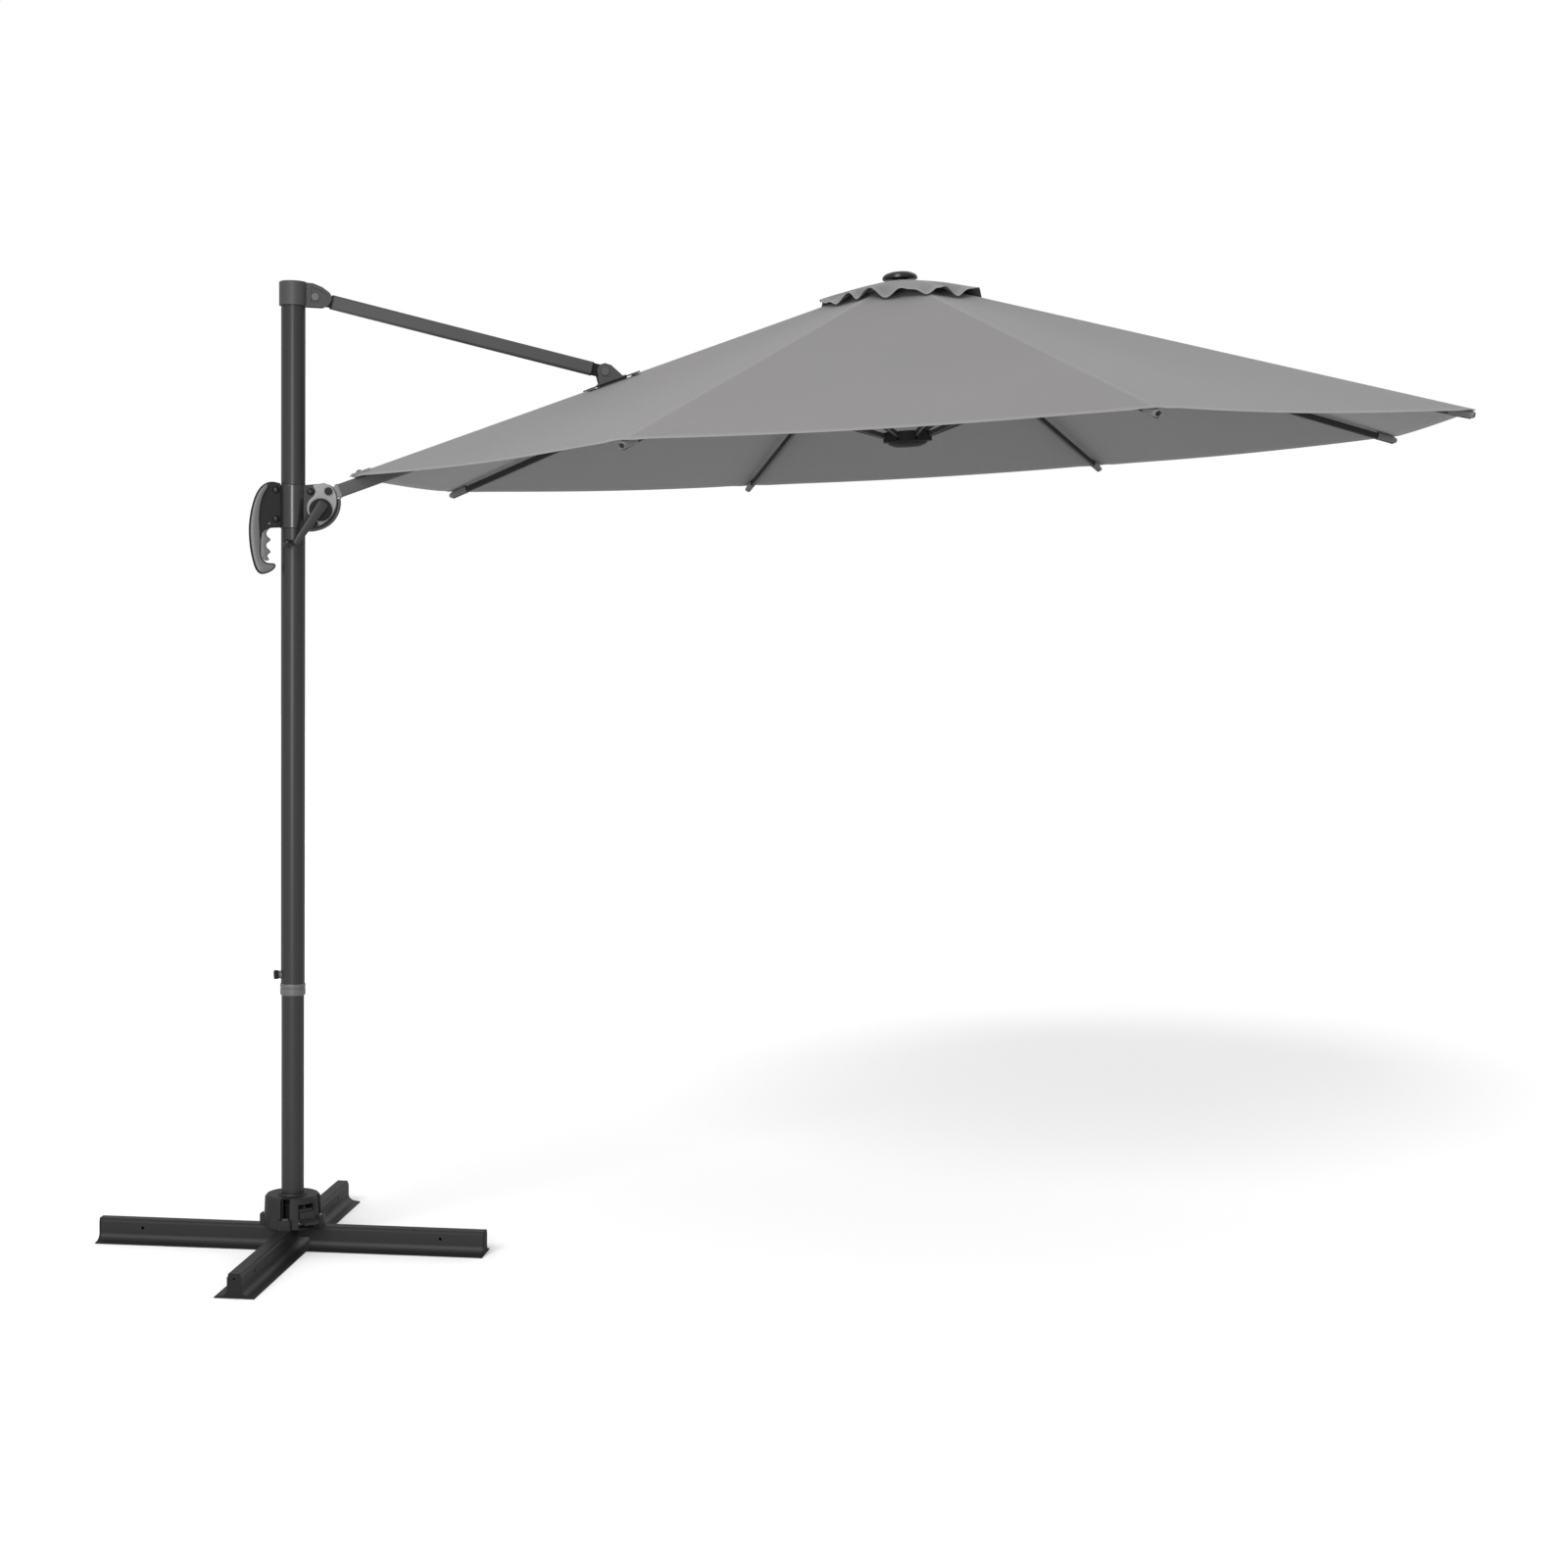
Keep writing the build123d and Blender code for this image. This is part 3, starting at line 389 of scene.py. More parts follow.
@dataclass(frozen=True)
class Cloth:
    """Woven canopy cloth on a UV map in metres: U from the rib's seam, V from the hem's edge.

    Attributes:
        name: material name.
        warp: lighter thread colour.
        weft: darker thread colour.
        thread: thread pitch in metres.
        hem: hem width in metres.
        felled: half width of the seam over the rib in metres.
        piping: width of the pale edge of the hem in metres.
        underside_shade: painted shade on the underside, how far the faces that point down are darkened, 0 to
            1.
    """

    name: str
    warp: Colour
    weft: Colour
    thread: float = 0.0016
    hem: float = 0.022
    felled: float = 0.009
    piping: float = 0.005
    underside_shade: float = 0.4

    def build(self) -> bpy.types.Material:
        """Makes the material.

        Returns:
            The material.
        """
        tree = ShaderTree(self.name)
        cloth_map = tree.add("ShaderNodeUVMap", uv_map="cloth").outputs[0]
        split = tree.add("ShaderNodeSeparateXYZ")
        tree.feed(split, Vector=cloth_map)
        across = tree.math("ABSOLUTE", split.outputs["X"])
        inward = split.outputs["Y"]
        weave = tree.math("MULTIPLY", tree.wave(cloth_map, Band.ALONG_X, self.thread),
                          tree.wave(cloth_map, Band.ALONG_Y, self.thread))
        slub = tree.noise(cloth_map, 260.0, 3.0)
        clouds = tree.noise(tree.add("ShaderNodeTexCoord").outputs["Object"], 3.2, 4.0)
        shade = tree.math("MULTIPLY_ADD", weave, 0.35, tree.math("MULTIPLY", slub, 0.3))
        shade = tree.math("MULTIPLY_ADD", clouds, 0.35, shade)
        colour = tree.blend(shade, self.weft, self.warp)
        hem = tree.math("LESS_THAN", inward, self.hem)
        seam = tree.math("LESS_THAN", across, self.felled)
        doubled = tree.math("MAXIMUM", hem, seam)
        stitches = tree.math("MAXIMUM", self.stitch(tree, inward, self.hem - 0.003, split.outputs["X"]),
                             self.stitch(tree, across, self.felled - 0.0025, inward))
        pale = tuple(min(1.0, c * 1.28) for c in self.warp)
        colour = tree.blend(tree.math("MULTIPLY", doubled, 0.35), colour, pale)
        colour = tree.blend(tree.math("MULTIPLY", stitches, 0.7), colour, pale)
        colour = tree.blend(tree.math("LESS_THAN", inward, self.piping), colour, pale)
        # Painted shade: faces that point down are darkened towards half the weft colour, standing in for the
        # shade under the canopy.
        facing = tree.add("ShaderNodeSeparateXYZ")
        tree.feed(facing, Vector=tree.add("ShaderNodeNewGeometry").outputs["True Normal"])
        below = tree.math("LESS_THAN", facing.outputs["Z"], 0.0)
        painted_shade = tree.math("MULTIPLY", below, self.underside_shade)
        colour = tree.blend(painted_shade, colour, tuple(c * 0.5 for c in self.weft))
        tree.feed(tree.surface, Base_Color=colour, Roughness=tree.spread(slub, 0.78, 0.92))
        tree.feed(tree.surface, Sheen_Weight=0.1, Sheen_Roughness=0.5)
        height = tree.math("MULTIPLY_ADD", doubled, 1.2, tree.math("MULTIPLY", weave, 0.4))
        height = tree.math("MULTIPLY_ADD", stitches, 0.6, height)
        tree.bump(height, 0.5, 0.0006)
        return tree.material

    def stitch(self, tree: ShaderTree, offset: object, at: float, run: object) -> bpy.types.NodeSocket:
        """Mask of a row of stitches.

        Args:
            tree: the material's tree.
            offset: distance from the seam's middle or hem's edge.
            at: where the row lies on that distance.
            run: distance along the row.

        Returns:
            1 on a stitch and 0 off it.
        """
        near = tree.math("COMPARE", offset, at, 0.0009)
        turns = tree.math("MULTIPLY", run, 2 * math.pi / 0.0045)
        dash = tree.math("GREATER_THAN", tree.math("SINE", turns), -0.3)
        return tree.math("MULTIPLY", near, dash)


@dataclass(frozen=True)
class Backdrop:
    """Pale even studio paper.

    Attributes:
        name: material name.
        colour: linear base colour.
    """

    name: str
    colour: Colour

    def build(self) -> bpy.types.Material:
        """Makes the material.

        Returns:
            The material.
        """
        tree = ShaderTree(self.name)
        tree.feed(tree.surface, Base_Color=(*self.colour, 1.0), Roughness=0.9)
        return tree.material


class Palette:
    """All finishes of the parasol, each built once."""

    def __init__(self) -> None:
        """Builds the materials."""
        self.mast_coat = Coated("mast_coat", (0.017, 0.017, 0.0173), 0.34, relief=0.18, gloss=0.26).build()
        self.tube_coat = Coated("tube_coat", (0.045, 0.045, 0.0455), 0.42, relief=0.18, gloss=0.3).build()
        # Painted shade: the ribs and stretchers lie under the cloth, so they get a copy of the tube coat at
        # less than half its brightness.
        self.shaded_rib_coat = Coated("shaded_rib_coat", (0.020, 0.020, 0.0203), 0.42, relief=0.18, gloss=0.3).build()
        self.beam_coat = Coated("beam_coat", (0.013, 0.013, 0.0133), 0.5, relief=0.35, gloss=0.2).build()
        self.cast_coat = Coated("cast_coat", (0.034, 0.034, 0.0345), 0.45, grain=900.0, relief=0.4).build()
        self.plastic = Coated("matte_plastic", (0.007, 0.007, 0.0073), 0.6, grain=1100.0, relief=0.5,
                              gloss=0.16).build()
        self.gloss_plastic = Coated("gloss_plastic", (0.006, 0.006, 0.0063), 0.3, relief=0.1,
                                    gloss=0.3).build()
        self.satin_plastic = Coated("satin_plastic", (0.070, 0.070, 0.071), 0.33, relief=0.2,
                                    gloss=0.4).build()
        self.tread = Coated("pedal_tread", (0.012, 0.012, 0.0125), 0.55, relief=0.5).build()
        self.sleeve = Coated("sleeve_coat", (0.012, 0.012, 0.0123), 0.27, relief=0.08, gloss=0.5).build()
        self.plate = Speckled("speckled_plate", (0.19, 0.19, 0.195), (0.07, 0.07, 0.073), 0.0035).build()
        self.bolt = Brushed("dark_bolt", (0.12, 0.12, 0.125), 0.35, (1.0, 12.0, 1.0)).build()
        self.steel = Brushed("bright_bolt", (0.55, 0.55, 0.56), 0.25, (8.0, 8.0, 1.0)).build()
        self.insert = Brushed("boom_insert", (0.17, 0.17, 0.175), 0.4, (1.0, 9.0, 9.0)).build()
        self.cloth = Cloth("canopy_cloth", (0.141, 0.136, 0.139), (0.107, 0.103, 0.1055)).build()

    def by_node(self) -> dict[str, bpy.types.Material]:
        """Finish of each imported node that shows.

        Returns:
            The material by node name.
        """
        finishes = {}
        groups = {
            "mast_coat": "mast_lower_tube mast_upper_tube crank_arm",
            "tube_coat": "strut_tube boom_tube strut_bracket boom_lug",
            "beam_coat": "cross_beam_long cross_beam_short base_hub",
            "cast_coat": "mast_cap rim_band",
            "plastic": "beam_end_caps swivel_bushes index_ring clamp_knob strut_upper_end strut_lower_end "
                       "glide_liners grip_trigger crank_shaft fabric_patch crown_hub runner boom_end "
                       "grip_handle",
            "gloss_plastic": "finial_cap crank_knob slider_bolts boom_pivot_bolt",
            "satin_plastic": "mast_collar clamp_seat",
            "tread": "foot_pedal",
            "sleeve": "slider_casting",
            "plate": "cheek_plates",
            "bolt": "cap_pivot_bolt trigger_pin crank_stem strut_bolt pedal_pin",
            "steel": "hub_bolts pivot_post",
            "insert": "boom_foot",
            "cloth": "canopy_fabric vent_flap",
        }
        for finish, names in groups.items():
            for name in names.split():
                finishes[name] = getattr(self, finish)
        # Ribs and stretchers take the darker copy of the tube coat, which paints in their shade under the
        # cloth.
        for k in range(SPOKES):
            finishes[f"stretcher_{k}"] = self.shaded_rib_coat
            if k:
                finishes[f"rib_{k}"] = self.shaded_rib_coat
        return finishes

    def dress(self) -> None:
        """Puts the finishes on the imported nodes' material slots."""
        finishes = self.by_node()
        for name, piece in frame["nodes"].items():
            finish = finishes[name]
            if not piece.data.materials:
                piece.data.materials.append(finish)
            for slot in piece.material_slots:
                slot.material = finish
        LOG.info("finishes on %d nodes", len(finishes))


# ---------- mesh helpers
def finish_piece(bm: bmesh.types.BMesh, name: str, body: str | None, material: bpy.types.Material,
                 sharp: float = PIECE_SHARP) -> bpy.types.Object:
    """Turns a bmesh into a piece that rides on a body.

    Args:
        bm: the finished bmesh, which is freed.
        name: the piece's name.
        body: the body it rides on, or None for a piece that is left on no body.
        material: its finish.
        sharp: angle in degrees over which an edge shows as an edge.

    Returns:
        The new object.
    """
    wide = [face for face in bm.faces if len(face.verts) > 4]
    bmesh.ops.triangulate(bm, faces=wide)
    for face in bm.faces:
        face.smooth = True
    for edge in bm.edges:
        edge.smooth = len(edge.link_faces) == 2 and edge.calc_face_angle(0.0) < math.radians(sharp)
    mesh = bpy.data.meshes.new(name)
    bm.to_mesh(mesh)
    bm.free()
    mesh.materials.append(material)
    piece = bpy.data.objects.new(name, mesh)
    bpy.context.scene.collection.objects.link(piece)
    if body:
        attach(piece, body)
    LOG.info("piece %s on %s, %d faces", name, body, len(mesh.polygons))
    return piece


def slab(outline: Sequence[Point], low: float, high: float, bevel: float,
         segments: int = 3) -> bmesh.types.BMesh:
    """Flat piece with an outline in the XZ plane and rounded rims.

    Args:
        outline: X and Z of the corners, in metres.
        low: lower Y.
        high: upper Y.
        bevel: radius of the rims.
        segments: facets of the rims.

    Returns:
        The bmesh.
    """
    bm = bmesh.new()
    rim = [bm.verts.new((x, low, z)) for x, z in outline]
    face = bm.faces.new(rim)
    grown = bmesh.ops.extrude_face_region(bm, geom=[face])
    verts = [item for item in grown["geom"] if isinstance(item, bmesh.types.BMVert)]
    bmesh.ops.translate(bm, verts=verts, vec=(0, high - low, 0))
    bmesh.ops.recalc_face_normals(bm, faces=bm.faces)
    if bevel:
        rims = [edge for edge in bm.edges if abs(edge.verts[0].co.y - edge.verts[1].co.y) < 1e-6]
        bmesh.ops.bevel(bm, geom=rims, offset=bevel, segments=segments, profile=0.5, affect="EDGES",
                        material=-1)
    return bm


def rounded(outline: Sequence[Point], per_corner: int = 5) -> list[Point]:
    """Smooth closed outline through the middles of a control polygon's sides.

    Args:
        outline: control points.
        per_corner: points on each corner's arc.

    Returns:
        The outline's points.
    """
    curve = bpy.data.curves.new("outline", "CURVE")
    spline = curve.splines.new("NURBS")
    spline.points.add(len(outline) - 1)
    for point, (x, z) in zip(spline.points, outline):
        point.co = (x, z, 0, 1)
    spline.order_u = 3
    spline.use_cyclic_u = True
    spline.resolution_u = per_corner
    carrier = bpy.data.objects.new("outline", curve)
    mesh = bpy.data.meshes.new_from_object(carrier)
    points = [(v.co.x, v.co.y) for v in mesh.vertices]
    bpy.data.objects.remove(carrier)
    bpy.data.curves.remove(curve)
    bpy.data.meshes.remove(mesh)
    return points


def turned(profile: Sequence[Point], steps: int) -> bmesh.types.BMesh:
    """Body of revolution about Z.

    Args:
        profile: radius and height of the outline, from the axis to the axis.
        steps: facets round the axis.

    Returns:
        The bmesh.
    """
    bm = bmesh.new()
    verts = [bm.verts.new((r, 0, z)) for r, z in profile]
    edges = [bm.edges.new(pair) for pair in zip(verts, verts[1:])]
    bmesh.ops.spin(bm, geom=verts + edges, cent=(0, 0, 0), axis=(0, 0, 1), angle=2 * math.pi, steps=steps,
                   use_merge=True)
    bmesh.ops.remove_doubles(bm, verts=bm.verts, dist=1e-5)
    bmesh.ops.recalc_face_normals(bm, faces=bm.faces)
    return bm


def pose(bm: bmesh.types.BMesh, place: Matrix) -> bmesh.types.BMesh:
    """Moves a whole bmesh.

    Args:
        bm: the bmesh.
        place: the matrix to move it by.

    Returns:
        The same bmesh.
    """
    bmesh.ops.transform(bm, matrix=place, verts=bm.verts)
    return bm


def aimed(origin: Vector, direction: Vector) -> Matrix:
    """Finds the matrix that takes +Z to a direction, at an origin.

    Args:
        origin: where the origin goes.
        direction: where +Z points.

    Returns:
        The matrix.
    """
    return Matrix.Translation(origin) @ direction.to_track_quat("Z", "Y").to_matrix().to_4x4()


def sewn(rows: int, columns: int,
         surface: Callable[[float, float], tuple[Vector, Point]]) -> bmesh.types.BMesh:
    """Lays a grid of cloth on a surface and writes its cloth map.

    Args:
        rows: facets along the cloth.
        columns: facets across it.
        surface: place and cloth map of a point, from 0 to 1 along and -0.5 to 0.5 across.

    Returns:
        The bmesh.
    """
    bm = bmesh.new()
    bmesh.ops.create_grid(bm, x_segments=rows, y_segments=columns, size=0.5)
    uv = bm.loops.layers.uv.new("cloth")
    for face in bm.faces:
        for loop in face.loops:
            loop[uv].uv = surface(loop.vert.co.x + 0.5, loop.vert.co.y)[1]
    for vert in bm.verts:
        vert.co = surface(vert.co.x + 0.5, vert.co.y)[0]
    return bm


def thicken(piece: bpy.types.Object, name: str, thick: float) -> None:
    """Gives cloth its thickness, inwards.

    Args:
        piece: the cloth.
        name: the modifier's name.
        thick: the thickness.
    """
    shell = piece.modifiers.new(name, "SOLIDIFY")
    shell.thickness = thick
    shell.offset = -1


# ---------- canopy
@dataclass
class CanopyFrame:
    """Frame of the canopy, worked out from the hinges: origin at the peak, Z along its axis.

    Attributes:
        peak_rise: height of the peak over the rib hinges.
        place: matrix from the frame to the row.
    """

    peak_rise: float = 0.075
    place: Matrix = field(init=False)

    def __post_init__(self) -> None:
        """Finds the frame between the boom's hinge and the hinge of the rib opposite."""
        near = Vector(JOINTS["canopy_fold"]["pos_m"])
        far = Vector(JOINTS["rib_4_fold"]["pos_m"])
        out = (far - near).normalized()
        across = Vector((0, 1, 0))
        axis = out.cross(across)
        turn = Matrix((out, across, axis)).transposed().to_4x4()
        self.place = Matrix.Translation((near + far) / 2 + axis * self.peak_rise) @ turn

    def body(self, k: int) -> str:
        """Names the body that carries the cloth at spoke k.

        Args:
            k: spoke number, 0 for the boom.

        Returns:
            The body's name.
        """
        return f"rib_{k}_body" if k else "boom"

    def spoke(self, k: int) -> Matrix:
        """Finds spoke k's radial frame, X outwards.

        Args:
            k: spoke number, 0 for the boom.

        Returns:
            The matrix from that frame to the row.
        """
        return self.place @ Matrix.Rotation(math.pi + k * 2 * math.pi / SPOKES, 4, "Z")


@dataclass
class Canopy:
    """Stretched cloth of eight gores over the ribs.

    Attributes:
        frame: the canopy's frame.
        tip: radius of the corners.
        tip_drop: how far the corners lie under the peak.
        vent: radius of the vent's corners.
        vent_drop: how far the vent's rim lies under the peak.
        hollow: how far a panel's hem is cut back at its middle.
        sag: how far a panel dips between two ribs.
        wrinkles: waves that fan out from a corner.
        wrinkle: height of those waves.
        wrinkle_reach: how far they run before they fade.
        ripple: height of the slow wave along a panel's middle.
        slit: room in front of, behind and beside the strut's bracket.
        folded: share of its width that a gore would keep when folded; not used.
        rows: facets from the vent to the hem.
        columns: facets across a gore.
    """

    frame: CanopyFrame
    tip: float = 1.511
    tip_drop: float = 0.478
    vent: float = 0.112
    vent_drop: float = 0.0446
    hollow: float = 0.020
    sag: float = 0.013
    wrinkles: int = 11
    wrinkle: float = 0.0022
    wrinkle_reach: float = 0.11
    ripple: float = 0.0009
    slit: tuple[float, float, float] = (0.012, 0.004, 0.020)
    folded: float = 0.12
    rows: int = 84
    columns: int = 40

    @property
    def fall(self) -> float:
        """Height lost per metre of radius along a rib."""
        return (self.tip_drop - self.vent_drop) / (self.tip - self.vent)

    def surface(self, along: float, across: float) -> tuple[Vector, Point]:
        """Finds a point of a gore in its spoke's frame.

        Args:
            along: 0 at the vent and 1 at the hem.
            across: -0.5 and 0.5 at the middles of the two panels, 0 on the rib.

        Returns:
            The place, and the cloth map's U and V in metres.
        """
        angle = 2 * across * HALF_GORE
        bow = math.sin(abs(across) * math.pi)
        ridge = self.vent + along * (self.tip - self.vent)
        chord = ridge * math.cos(HALF_GORE) / math.cos(HALF_GORE - abs(angle))
        radius = chord - self.hollow * bow * along ** 3
        height = -self.vent_drop - (ridge - self.vent) * self.fall
        height -= self.sag * bow * math.sin(math.pi * (0.12 + 0.62 * along))
        to_tip = math.hypot(self.tip - ridge, radius * angle)
        fan = math.sin(self.wrinkles * math.atan2(radius * angle, self.tip - ridge + 0.02))
        fan *= math.exp(-to_tip / self.wrinkle_reach) * min(1.0, to_tip / 0.03)
        height += self.wrinkle * fan * bow ** 0.3
        height += self.ripple * math.sin(8 * along) * bow ** 2
        inward = (self.tip - ridge) * math.hypot(1, self.fall)
        place = Vector((radius * math.cos(angle), radius * math.sin(angle), height))
        return place, (radius * angle, inward)

    def open_slit(self, bm: bmesh.types.BMesh) -> None:
        """Opens the cloth round the strut's bracket.

        Args:
            bm: the gore over the boom, in its spoke's frame.
        """
        to_spoke = self.frame.spoke(0).inverted()
        left, right = sorted((to_spoke @ Vector(corner)).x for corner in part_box("strut_bracket"))
        middles = {face: face.calc_center_median() for face in bm.faces}
        before, behind, beside = self.slit
        inside = [face for face, middle in middles.items()
                  if left - before < middle.x < right + behind and abs(middle.y) < beside]
        bmesh.ops.delete(bm, geom=inside, context="FACES")

    def gore(self, k: int, cloth: bpy.types.Material) -> bpy.types.Object:
        """Builds the cloth over spoke k, from one panel's middle to the next.

        Args:
            k: spoke number, 0 over the boom.
            cloth: the cloth's finish.

        Returns:
            The gore.
        """
        bm = sewn(self.rows, self.columns, self.surface)
        if k == 0:
            self.open_slit(bm)
        spoke = self.frame.spoke(k)
        pose(bm, spoke)
        area = sum(face.calc_area() for face in bm.faces)
        piece = finish_piece(bm, f"gore_{k}", self.frame.body(k), cloth, CLOTH_SHARP)
        thicken(piece, "cloth_thickness", CLOTH_THICK)
        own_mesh(piece)
        return piece

    def build(self, palette: Palette) -> None:
        """Builds all the cloth.

        Args:
            palette: the finishes.
        """
        gores = [self.gore(k, palette.cloth) for k in range(SPOKES)]
        for piece in gores:
            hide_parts("canopy_fabric")
        pocket = RibPocket(self)
        for k in range(1, SPOKES):
            pocket.build(k, palette.cloth)
        flap = VentFlap(self.frame)
        for k in range(SPOKES):
            flap.build(k, palette.cloth)
        CornerTab(self).build(palette)


@dataclass
class RibPocket:
    """Sewn pocket that holds a rib's end under a corner of the cloth.

    Attributes:
        canopy: the cloth it is sewn to.
        mouth: radius at its mouth.
        end: radius at its closed end.
        length: its length.
        inset: how far its middle lies inside the corner.
        under: how far its middle lies under the corner.
        slope: fall of the rib's end.
        thick: thickness of the pocket's wall.
    """

    canopy: Canopy
    mouth: float = 0.0122
    end: float = 0.0110
    length: float = 0.062
    inset: float = 0.033
    under: float = 0.0050
    slope: float = 0.288
    thick: float = 0.0012

    def build(self, k: int, cloth: bpy.types.Material) -> None:
        """Builds the pocket on spoke k.

        Args:
            k: spoke number.
            cloth: the cloth's finish.
        """
        bm = bmesh.new()
        bmesh.ops.create_cone(bm, cap_ends=False, segments=24, radius1=self.end, radius2=self.mouth,
                              depth=self.length)
        bmesh.ops.subdivide_edges(bm, edges=bm.edges, cuts=3, use_grid_fill=True)
        for vert in bm.verts:
            pinch = 1 - 0.55 * max(0.0, (-vert.co.z - 0.018) / 0.02)
            vert.co.x *= 0.72 * (1.5 - 0.5 * pinch)
            vert.co.y *= max(pinch, 0.3)
        uv = bm.loops.layers.uv.new("cloth")
        for face in bm.faces:
            for loop in face.loops:
                loop[uv].uv = (CLEAR_OF_SEAM + loop.vert.co.x, 0.08 - loop.vert.co.z)
        frame, canopy = self.canopy.frame, self.canopy
        middle = Vector((canopy.tip - self.inset, 0, -canopy.tip_drop - self.under))
        pose(bm, frame.spoke(k) @ aimed(middle, Vector((-1, 0, self.slope)).normalized()))
        piece = finish_piece(bm, f"rib_pocket_{k}", frame.body(k), cloth, CLOTH_SHARP)
        thicken(piece, "pocket_thickness", self.thick)


@dataclass
class VentFlap:
    """Loose flap with a ruffled hem over the vent, in eight parts.

    Attributes:
        frame: the canopy's frame.
        hole: radius of the hole under the finial cap.
        reach: width of the flap from the hole to a corner of its hem.
        top: how far the hole's rim lies under the peak.
        drop: height lost from the hole to the hem.
        dome: how far the flap bulges between them.
        waves: ruffles round the hem.
        ruffle: height of a ruffle.
        crumples: small folds round the hem.
        crumple: height of a small fold.
        tuck: share of the radius that a raised ruffle pulls in.
        sag: how far the hem dips between two ribs.
        rows: facets from the hole to the hem.
        columns: facets across a part.
    """

    frame: CanopyFrame
    hole: float = 0.020
    reach: float = 0.216
    top: float = 0.0130
    drop: float = 0.0545
    dome: float = 0.006
    waves: int = 13
    ruffle: float = 0.0105
    crumples: int = 23
    crumple: float = 0.003
    tuck: float = 0.03
    sag: float = 0.004
    rows: int = 26
    columns: int = 32

    def surface(self, along: float, turn: float) -> tuple[Vector, Point]:
        """Finds a point of the flap in the canopy's frame.

        Args:
            along: 0 at the hole and 1 at the hem.
            turn: 0 to 1 once round.

        Returns:
            The place, and the cloth map's U and V in metres.
        """
        angle = turn * 2 * math.pi
        sector = (angle + HALF_GORE) % (2 * HALF_GORE) - HALF_GORE
        ridge = self.hole + along * self.reach
        chord = ridge * math.cos(HALF_GORE) / math.cos(HALF_GORE - abs(sector))
        straight = 0.35 + 0.65 * along
        radius = ridge * (1 - straight) + chord * straight
        wave = math.sin(self.waves * angle + 1.6 * math.sin(3 * angle) + 0.9 * math.sin(5 * angle))
        small = math.sin(self.crumples * angle + 2.0 * math.sin(4 * angle) + 5 * along)
        height = -self.top - self.drop * along + self.dome * math.sin(math.pi * along)
        height += along ** 2.2 * (self.ruffle * (wave + 0.35) + self.crumple * small)
        height -= self.sag * along ** 2 * math.sin(abs(sector) / HALF_GORE * math.pi / 2)
        radius *= 1 - self.tuck * along ** 2 * (0.5 + 0.5 * wave)
        place = Vector((radius * math.cos(angle), radius * math.sin(angle), height))
        inward = (self.hole + self.reach - ridge) * 1.04
        return place, (FAR_FROM_SEAM + radius * sector, inward)

    def build(self, k: int, cloth: bpy.types.Material) -> None:
        """Builds the part over spoke k.

        Args:
            k: spoke number.
            cloth: the cloth's finish.
        """
        middle = 0.5 + k / SPOKES
        bm = sewn(self.rows, self.columns,
                  lambda along, across: self.surface(along, middle + across / SPOKES))
        pose(bm, self.frame.place)
        area = sum(face.calc_area() for face in bm.faces)
        piece = finish_piece(bm, f"vent_flap_{k}", None, cloth, CLOTH_SHARP)
        thicken(piece, "cloth_thickness", CLOTH_THICK)
        spoke = self.frame.spoke(k)
        self.frame.body(k)
        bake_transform(piece)
        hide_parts("vent_flap")


@dataclass
class CornerTab:
    """Webbing tab and rivet that hold the cloth's corner down on the boom.

    Attributes:
        canopy: the cloth it is sewn to.
        size: its length, width and thickness.
        roll: radius of its edges.
        inset: how far its middle lies inside the corner.
        lift: how far it lies over the corner.
        rivet: radius and height of the rivet's outline.
    """

    canopy: Canopy
    size: tuple[float, float, float] = (0.050, 0.026, 0.0022)
    roll: float = 0.0009
    inset: float = 0.030
    lift: float = 0.0112
    rivet: tuple[Point, ...] = (
        (0, 0.0045), (0.003, 0.0042), (0.0058, 0.0028), (0.0072, 0.0), (0.0072, -0.001), (0, -0.001))

    def build(self, palette: Palette) -> None:
        """Builds the tab and its rivet.

        Args:
            palette: the finishes.
        """
        bm = bmesh.new()
        bmesh.ops.create_cube(bm, size=1.0)
        bmesh.ops.scale(bm, vec=self.size, verts=bm.verts)
        bmesh.ops.bevel(bm, geom=bm.edges[:], offset=self.roll, segments=2, profile=0.5,
                        affect="EDGES", material=-1)
        uv = bm.loops.layers.uv.new("cloth")
        for face in bm.faces:
            for loop in face.loops:
                loop[uv].uv = (CLEAR_OF_SEAM + loop.vert.co.y, 0.03 + loop.vert.co.x)
        canopy = self.canopy
        middle = Matrix.Translation((canopy.tip - self.inset, 0, -canopy.tip_drop + self.lift))
        spot = canopy.frame.spoke(0) @ middle @ Matrix.Rotation(math.atan(canopy.fall), 4, "Y")
        pose(bm, spot)
        finish_piece(bm, "corner_tab", "boom", palette.cloth)
        rivet = turned(self.rivet, 32)
        pose(rivet, spot @ Matrix.Translation((0.004, 0, 0.0012)))
        finish_piece(rivet, "corner_rivet", "boom", palette.bolt)


